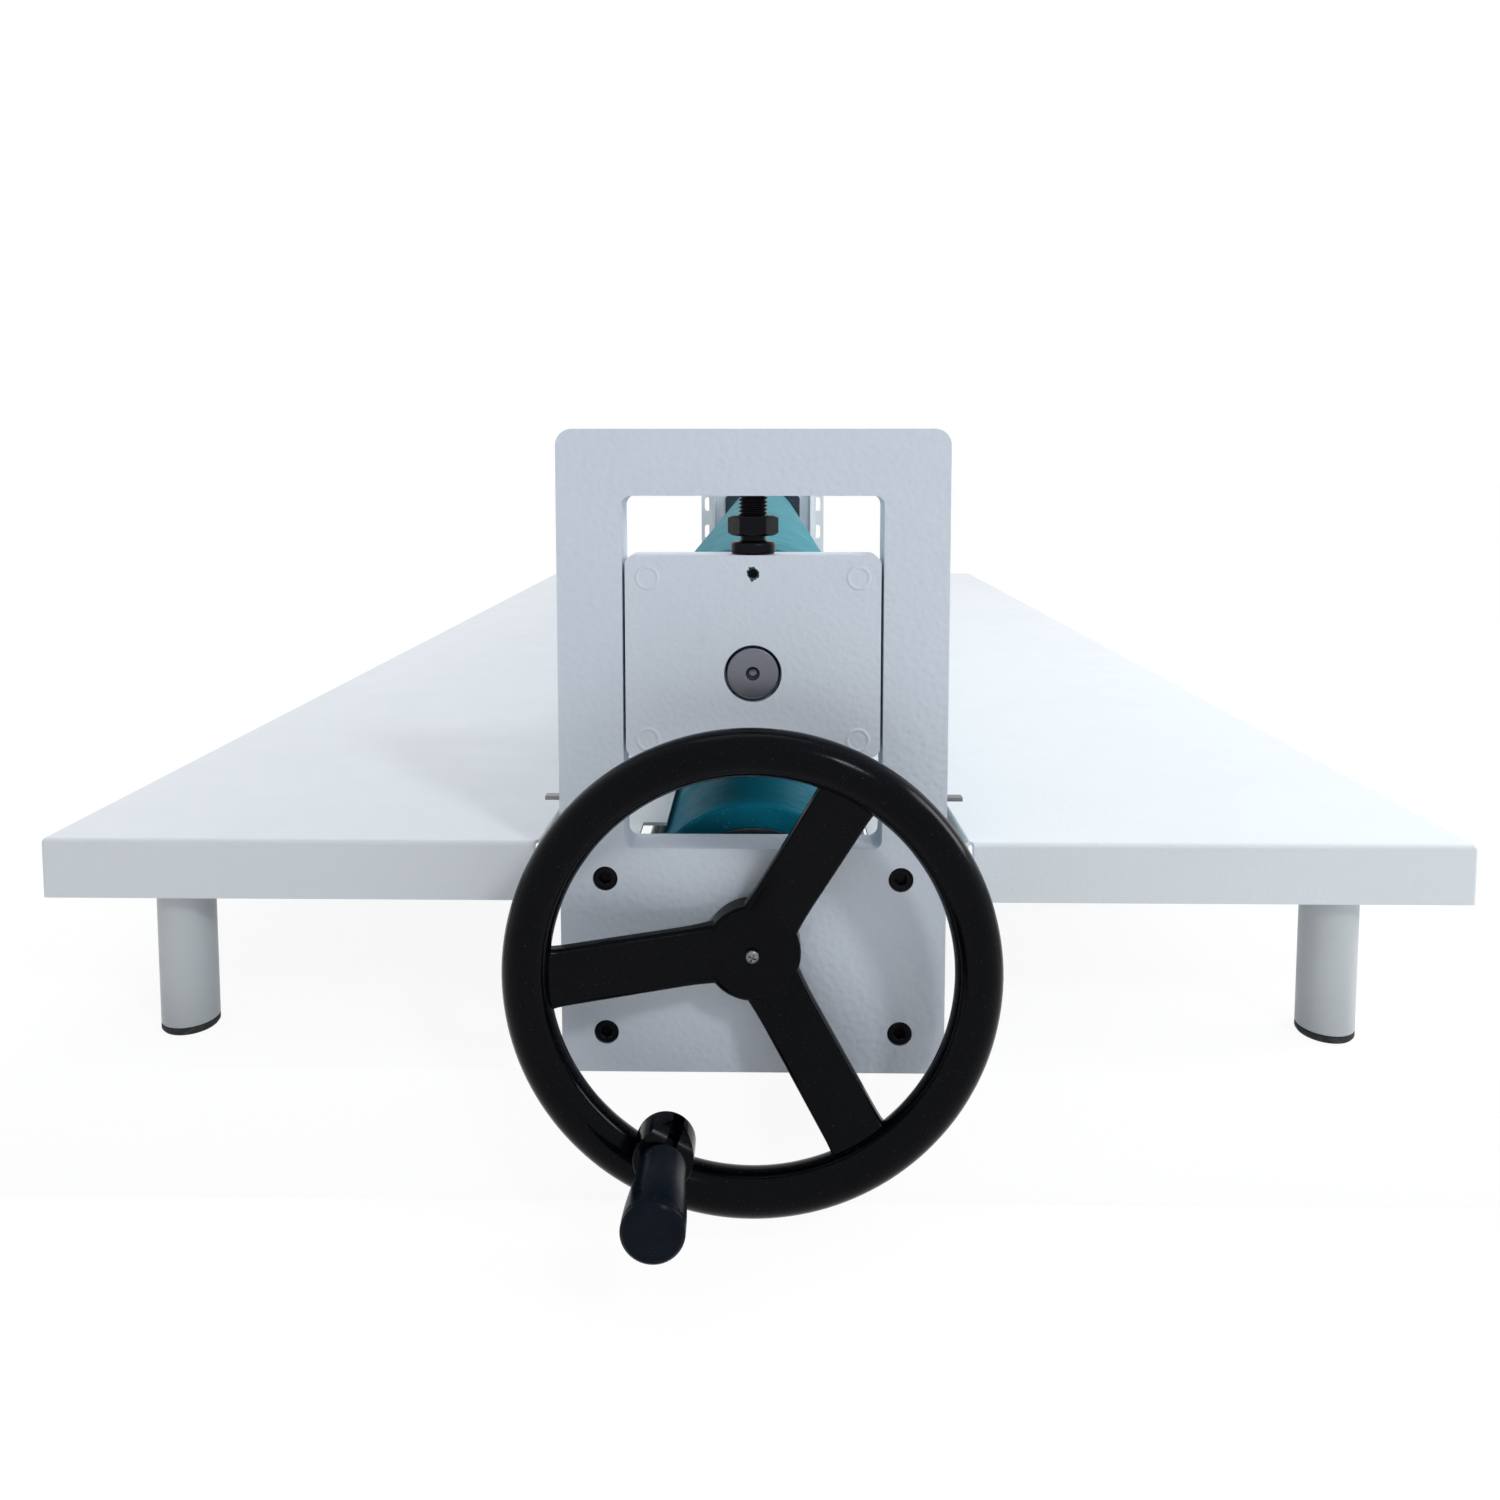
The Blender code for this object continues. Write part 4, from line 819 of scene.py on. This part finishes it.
# ---- Tables, legs, brackets ----
def table(side, sign):
    """Folded tray with rounded bends, relief cuts at its corners and eased sheet edges."""
    node = side + "_table"
    low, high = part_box(node)
    inner_x = low.x if sign > 0 else -high.x
    outer_x = high.x if sign > 0 else -low.x
    near, far, top = low.y, high.y, high.z
    notch_x, slot_out = inner_x + 0.014, PLATE_HIGH.x + 0.015
    slot_in, slot_end = slot_out - 0.014, near + 0.100
    half = [(inner_x, near + 0.035), (notch_x, near + 0.035), (notch_x, near), (slot_in, near),
            (slot_in, slot_end), (slot_out, slot_end), (slot_out, near), (outer_x, near)]
    outline = half + [(x, near + far - y) for x, y in reversed(half)]
    first, last = 5, 10  # the flanges hang from one slot's end to the other's
    bm = bmesh.new()
    rim = [bm.verts.new((sign * x, y, top)) for x, y in outline]
    bm.faces.new(rim)
    hem = {i: bm.verts.new((sign * outline[i][0], outline[i][1], low.z))
           for i in range(first, last + 1)}
    for i in range(first, last):
        bm.faces.new((rim[i], rim[i + 1], hem[i + 1], hem[i]))
    bmesh.ops.recalc_face_normals(bm, faces=bm.faces)
    bm.faces.ensure_lookup_table()
    if bm.faces[0].normal.z < 0:
        bmesh.ops.reverse_faces(bm, faces=bm.faces)
    folds = [edge for edge in bm.edges if len(edge.link_faces) == 2]
    bmesh.ops.bevel(bm, geom=folds, offset=BEND_R, segments=5, profile=0.5, affect='EDGES',
                    clamp_overlap=True)
    mesh = bpy.data.meshes.new(node + "_fine")
    bm.to_mesh(mesh)
    bm.free()
    tray = place(node + "_fine", mesh, TABLE_PAINT)
    shell = tray.modifiers.new("sheet", 'SOLIDIFY')
    shell.thickness = SHEET_T
    shell.offset = -1
    shell.use_even_offset = True
    bake(tray, 40)
    relief_x = sign * (slot_out + 0.0015)
    carve(tray, *(rod(0.0032, (top - 0.010, top + PAST), (relief_x, y, 0), 32, 'Z')
                  for y in (near, far)))
    bevel(tray, 0.00045, 2, 50.0)
    even_normals(tray)
    use(tray, "frame", "table_paint", node)


def leg(end, side):
    """Tube with a welded disc on top, and the rubber foot pushed into it."""
    node = "_".join((end, side, "leg"))
    low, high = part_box(node)
    spot = middle(node)
    top, bottom = high.z, low.z
    points = [(0.0, top), (LEG_DISC_R, top, 0.0008), (LEG_DISC_R, top - 0.003, 0.0008),
              (0.0185, top - 0.0032, 0.0016), (LEG_R, top - 0.0057, 0.0016),
              (LEG_R, bottom, 0.0005), (0.0140, bottom, 0.0005), (0.0140, top - 0.004),
              (0.0, top - 0.004)]
    tube = lathe(node + "_fine", soften(points, 4), LEG_PAINT, (spot.x, spot.y, 0), 'Z', 72)
    use(tube, "frame", "table_paint", node)
    node = "_".join((end, side, "foot"))
    low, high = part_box(node)
    floor, lip = low.z, low.z + 0.0045
    points = [(0.0, high.z), (0.0136, high.z, 0.0010), (0.0136, lip), (LEG_R, lip, 0.0004),
              (LEG_R, floor + 0.0016, 0.0008), (0.0148, floor, 0.0008), (0.0125, floor),
              (0.0120, floor + 0.0006), (0.0, floor + 0.0006)]
    foot = lathe(node + "_fine", soften(points, 4), FOOT_RUBBER, (spot.x, spot.y, 0), 'Z', 72)
    use(foot, "frame", "foot_rubber", node)


# ---- Handwheel and handle ----
def sweep_spoke(name, angle):
    """A bevelled flat bar from the hub to the rim that swells into both."""
    start, end = Vector((0.0165, -0.0246)), Vector((RIM_R, RIM_Y))  # (outwards, y)
    length = (end - start).length
    along = (end - start).normalized()
    back = Vector((-along.y, along.x))
    out = Vector((math.cos(angle), 0, math.sin(angle)))
    side = Vector((-math.sin(angle), 0, math.cos(angle)))
    shares = [0.0, 0.04, 0.08, 0.12, 0.16, 0.22, 0.30, 0.40, 0.50, 0.60, 0.70, 0.77, 0.82, 0.855,
              0.88, 0.90, 0.92, 0.94, 0.96, 0.98]
    bm = bmesh.new()
    rows = []
    for share in shares:
        rim = max(0.0, (share - 0.80) / 0.20)
        hub = max(0.0, 1 - share / 0.22)
        half_w = 0.01525 + 0.0085 * rim ** 3 + 0.0012 * hub ** 2
        half_t = 0.0045 + 0.0030 * rim ** 3 + 0.0010 * hub ** 2
        row = []
        for w, t in soften([(half_w, -half_t, 0.0026), (half_w, half_t, 0.0026),
                            (-half_w, half_t, 0.0026), (-half_w, -half_t, 0.0026)], 5, True):
            crown = 0.0006 * (1 - (w / half_w) ** 2) if t < 0 else 0
            flat = start + along * (length * share) + back * (t - crown)
            point = out * flat.x + Vector((0, flat.y, LOWER_Z)) + side * w
            row.append(bm.verts.new(point))
        rows.append(row)
    skin(bm, rows)
    bm.faces.new(rows[0])
    bm.faces.new(rows[-1])
    return place(name, finish_mesh(name, bm, 40))


def handwheel():
    """Rim, hub, three spokes and the handle's boss in one moulding."""
    centre = (0, 0, LOWER_Z)
    wheel = lathe("handwheel_fine", circle(RIM_R, RIM_Y, RIM_TUBE, 32), WHEEL_BLACK, centre,
                  steps=160, ring=True, angle=60)
    web = HUB_FRONT + HUB_WEB
    points = [(0.0143, HUB_BACK), (HUB_R, HUB_BACK, 0.0022), (HUB_R, HUB_FRONT, 0.0032),
              (HUB_SCREW_R + 0.0004, HUB_FRONT, 0.0003), (HUB_SCREW_R + 0.0004, web), (0.0143, web)]
    hub = lathe("hub", soften(points, 6, True), None, centre, steps=112, ring=True)
    key_low, key_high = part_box("wheel_key")
    carve(hub, slab("key_way", rectangle(key_low.x - 0.0002, key_high.x + 0.0002, 0.080,
                                         key_high.z + 0.0002, 0.0003, 2), [], web, HUB_BACK + PAST))
    spokes = [sweep_spoke(f"spoke_{i}", math.radians(62 + 120 * i)) for i in range(3)]
    merge(wheel, hub, *spokes, handle_boss())
    even_normals(wheel)
    use(wheel, "lower_roller", "black_plastic", "handwheel")


def across_fold(name, outline, half):
    """A (y, z) outline in the fold frame, extruded evenly along the fold axis."""
    piece = slab(name, [(z, y) for y, z in outline], [], -half, half)
    piece.data.transform(Matrix(((0, 1, 0), (0, 0, 1), (1, 0, 0))).to_4x4())
    piece.data.transform(FOLD_FRAME)
    return piece


def handle_boss():
    """Boss with a nose rounded about the fold axis, and the slot the spindle's tongue swings in."""
    face = PIVOT.y - NOSE_R
    points = [(0.0, face), (NOSE_R, face, 0.0014), (NOSE_R, face + BOSS_L, 0.0035),
              (0.0, face + BOSS_L)]
    boss = lathe("boss", soften(points, 6), None, (PIVOT.x, 0, PIVOT.z))
    clear = NOSE_R + 0.004
    turns = [math.pi / 2 * k / 24 for k in range(25)]
    nose = [(-NOSE_R * math.sin(turn), NOSE_R * math.cos(turn)) for turn in turns]
    nose += [(-clear, 0.0), (-clear, clear), (0.0, clear)]
    slot = slab("slot", [(-SLOT_HALF, -SLOT_UNDER), (SLOT_HALF, -SLOT_UNDER),
                         (SLOT_HALF, NOSE_R + PAST), (-SLOT_HALF, NOSE_R + PAST)], [],
                -NOSE_R - PAST, SLOT_UNDER)
    slot.data.transform(FOLD_FRAME)
    carve(boss, across_fold("nose", nose, clear))
    carve(boss, slot, across_fold("pin_hole", circle(0.0, 0.0, 0.00215, 32), NOSE_R + PAST))
    bevel(boss, 0.0007, 3, 40.0)
    return bake(boss)


def hub_screw():
    """Domed cross-recess screw in the middle of the hub."""
    low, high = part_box("hub_screw")
    points = [(0.0, low.y), (0.0022, low.y + 0.00012, 0.001), (0.0036, low.y + 0.0009, 0.0012),
              (0.00375, low.y + 0.0022, 0.0004), (0.00375, low.y + 0.0030, 0.0002),
              (HUB_SCREW_R, low.y + 0.0030), (HUB_SCREW_R, high.y - 0.0006), (0.0019, high.y),
              (0.0, high.y)]
    screw = lathe("hub_screw_fine", soften(points, 5), CLIP_STEEL, (0, 0, LOWER_Z), steps=64)
    long, short = 0.00235, 0.00042
    carve(screw, *(slab("recess", [(-a, LOWER_Z - b), (a, LOWER_Z - b), (a, LOWER_Z + b),
                                   (-a, LOWER_Z + b)], [], low.y - 0.001, low.y + 0.0016)
                   for a, b in ((long, short), (short, long))))
    turn = Matrix.Rotation(math.radians(24), 4, 'Y')
    screw.data.transform(Matrix.Translation((0, 0, LOWER_Z)) @ turn
                         @ Matrix.Translation((0, 0, -LOWER_Z)))
    use(screw, "lower_roller", "bright_steel", "hub_screw")


def grip():
    """Flared grip with a soft shoulder, a parting groove and a slightly domed end cap."""
    low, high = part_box("handle_grip")
    cap_low, cap_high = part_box("handle_end_cap")
    rear, front = high.y, low.y
    centre = (PIVOT.x, 0, PIVOT.z)
    points = [(SPINDLE_BORE_R, rear), (0.0102, rear, 0.0020), (0.0119, rear - 0.0030, 0.0020)]
    for k in range(1, 15):
        share = k / 15
        swell = (1 - math.cos(math.pi * share)) / 2
        points.append((GRIP_REAR_R + (GRIP_R - GRIP_REAR_R) * swell,
                       rear - 0.003 - (rear - front - 0.0045) * share))
    points += [(GRIP_R, front + 0.0012, 0.0006), (0.0147, front, 0.0003), (0.0070, front),
               (0.0070, front + 0.0040), (SPINDLE_BORE_R, front + 0.0040)]
    body = lathe("grip_fine", soften(points, 5), GRIP_BLACK, centre, steps=112, ring=True, angle=40)
    use(body, "turning_grip", "black_plastic", "handle_grip")
    points = [(0.0, cap_high.y), (0.0147, cap_high.y, 0.0003),
              (GRIP_R, cap_high.y - 0.0008, 0.0005), (GRIP_R, cap_low.y + 0.0018, 0.0016),
              (0.0132, cap_low.y + 0.0002, 0.0016), (0.0, cap_low.y)]
    cap = lathe("grip_cap_fine", soften(points, 6), GRIP_BLACK, centre, steps=112, angle=50)
    use(cap, "turning_grip", "black_plastic", "handle_end_cap")


# ---- Build ----
def build():
    for end, inward in ENDS:
        end_plate(end, inward)
        for side, _ in SIDES:
            leg(end, side)
            for level in ("low", "high"):
                socket_bolt(end, side, level, inward)
        journal("lower", end, "lower_roller", LOWER_Z, LOWER_STEEL, inward)
        journal("upper", end, "upper_roller", UPPER_Z, UPPER_STEEL, inward)
        bearing(end, "lower", LOWER_Z, "frame")
        bearing(end, "upper", UPPER_Z, "upper_carriage")
        bearing_cover(end)
        bearing_block(end, inward)
        grub_screw(end, inward)
        press_screw(end)
        lock_nut(end)
        # The keepers take the dark blued steel as painted shade, standing in for the shaded face
        # seen through the window.
        dress(end + "_block_keeper", DARK_STEEL_AND_PAINTED_SHADE, 0.0006)
    for side, sign in SIDES:
        for level in ("low", "high"):
            tie_bar(side, level)
        table(side, sign)
        dress(f"near_{side}_table_clip", CLIP_STEEL, 0.0004)
        dress(f"far_{side}_slotted_upright", TABLE_PAINT, 0.0005)
    roller("lower", "lower_roller", LOWER_Z, SHADED_LOWER_RUBBER, LOWER_STEEL)
    roller("upper", "upper_roller", UPPER_Z, UPPER_RUBBER, UPPER_STEEL)
    handwheel()
    hub_screw()
    grip()
    dress("wheel_key", CLIP_STEEL, 0.0004)
    dress("handle_spindle", CLIP_STEEL, 0.0003)
    dress("handle_pivot_pin", CLIP_STEEL, 0.0003)


# ---- Floor, light and camera ----
def seen_rays(tree):
    """1 for the rays that show the background itself: seen, mirrored or through something clear."""
    rays = tree.nodes.new("ShaderNodeLightPath").outputs
    seen = maths(tree, 'MAXIMUM', rays["Is Camera Ray"], rays["Is Glossy Ray"])
    return maths(tree, 'MAXIMUM', seen, rays["Is Transmission Ray"])


def pale(name, plain_share):
    """White floor that keeps shadows: part lit, part plain white where the floor itself is seen."""
    material = bpy.data.materials.new(name)
    material.use_nodes = True
    tree = material.node_tree
    tree.nodes.clear()
    out = tree.nodes.new("ShaderNodeOutputMaterial")
    lit = tree.nodes.new("ShaderNodeBsdfDiffuse")
    lit.inputs["Color"].default_value = (0.86, 0.865, 0.87, 1)
    plain = tree.nodes.new("ShaderNodeEmission")
    plain.inputs["Color"].default_value = (1, 1, 1, 1)
    plain.inputs["Strength"].default_value = 1.06
    mix = tree.nodes.new("ShaderNodeMixShader")
    tree.links.new(maths(tree, 'MULTIPLY', seen_rays(tree), plain_share), mix.inputs[0])
    tree.links.new(lit.outputs[0], mix.inputs[1])
    tree.links.new(plain.outputs[0], mix.inputs[2])
    tree.links.new(mix.outputs[0], out.inputs["Surface"])
    return material


FLOOR_Z = -0.075  # under the handwheel, which reaches below the feet


def stage():
    """A wide floor, and the bench that the press stands on, which ends at the near plate."""
    bm = bmesh.new()
    bmesh.ops.create_grid(bm, x_segments=1, y_segments=1, size=30.0)
    floor = place("floor", finish_mesh("floor", bm), pale("floor_white", 0.88))
    floor.location = (0, 0, FLOOR_Z)
    bench = slab("bench", rectangle(-0.62, 0.62, PLATE_LOW.y, 1.86, 0.012), [], FLOOR_Z, 0.0,
                 pale("bench_white", 0.86), 'Z')
    bevel(bench, 0.003, 3)


# name, place, target, size, watts, colour
LAMPS = (("overhead", (-0.20, 1.20, 2.3), (-0.1, 0.85, 0.1), (1.7, 2.4), 13.0, (1, 1, 1)),
         ("key", (2.0, 0.40, 0.95), (0.0, 0.20, 0.14), (0.7, 0.9), 20.0, (1.0, 0.99, 0.97)),
         ("front", (1.10, -1.55, 1.70), (0.0, 0.0, 0.12), (0.28, 0.28), 13.5, (0.90, 0.96, 1.0)))
# axis, from, to, least and most light: upwards, behind the press, and to its right
ROOM_LIGHT = ((2, -0.15, 0.85, 0.09, 0.56), (1, -0.2, 0.8, 0.0, 0.36), (0, 0.1, 0.9, 0.0, 0.22))
WHITE = 1.08  # strength of the world where it is seen


def lights():
    """Soft light from above, behind and the right, less from the front, and white where seen."""
    world = bpy.data.worlds.new("studio")
    SCENE.world = world
    world.use_nodes = True
    tree = world.node_tree
    back = tree.nodes["Background"]
    back.inputs["Color"].default_value = (0.95, 0.975, 1.0, 1)
    parts = tree.nodes.new("ShaderNodeSeparateXYZ")
    tree.links.new(tree.nodes.new("ShaderNodeTexCoord").outputs["Generated"], parts.inputs[0])
    up, rear, right = (smooth_range(tree, parts.outputs[axis], *ends) for axis, *ends in ROOM_LIGHT)
    level = tree.nodes.new("ShaderNodeMix")
    level.data_type = 'FLOAT'
    feed(tree, level.inputs["Factor"], seen_rays(tree))
    feed(tree, level.inputs["A"], maths(tree, 'ADD', maths(tree, 'ADD', up, rear), right))
    level.inputs["B"].default_value = WHITE
    feed(tree, back.inputs["Strength"], level.outputs["Result"])
    for name, spot, target, size, watts, colour in LAMPS:
        lamp = bpy.data.lights.new(name, 'AREA')
        lamp.shape = 'RECTANGLE'
        lamp.size, lamp.size_y = size
        lamp.energy = watts
        lamp.color = colour
        item = bpy.data.objects.new(name, lamp)
        item.location = spot
        item.rotation_euler = (Vector(target) - Vector(spot)).to_track_quat('-Z', 'Y').to_euler()
        SCENE.collection.objects.link(item)


def camera():
    lens = bpy.data.cameras.new("view")
    lens.sensor_width = 36.0
    lens.lens = 27.34
    lens.shift_x = 0.0003
    lens.shift_y = -0.133
    lens.clip_start = 0.02
    lens.clip_end = 60.0
    item = bpy.data.objects.new("view", lens)
    yaw, pitch = 0.0145, 0.0747
    forward = Vector((-math.sin(yaw) * math.cos(pitch), math.cos(yaw) * math.cos(pitch),
                      -math.sin(pitch)))
    item.location = (0.0070, -0.6171, 0.3337)
    item.rotation_euler = forward.to_track_quat('-Z', 'Y').to_euler()
    SCENE.collection.objects.link(item)
    SCENE.camera = item


SCENE.view_settings.view_transform = 'Standard'
build()
stage()
lights()
camera()
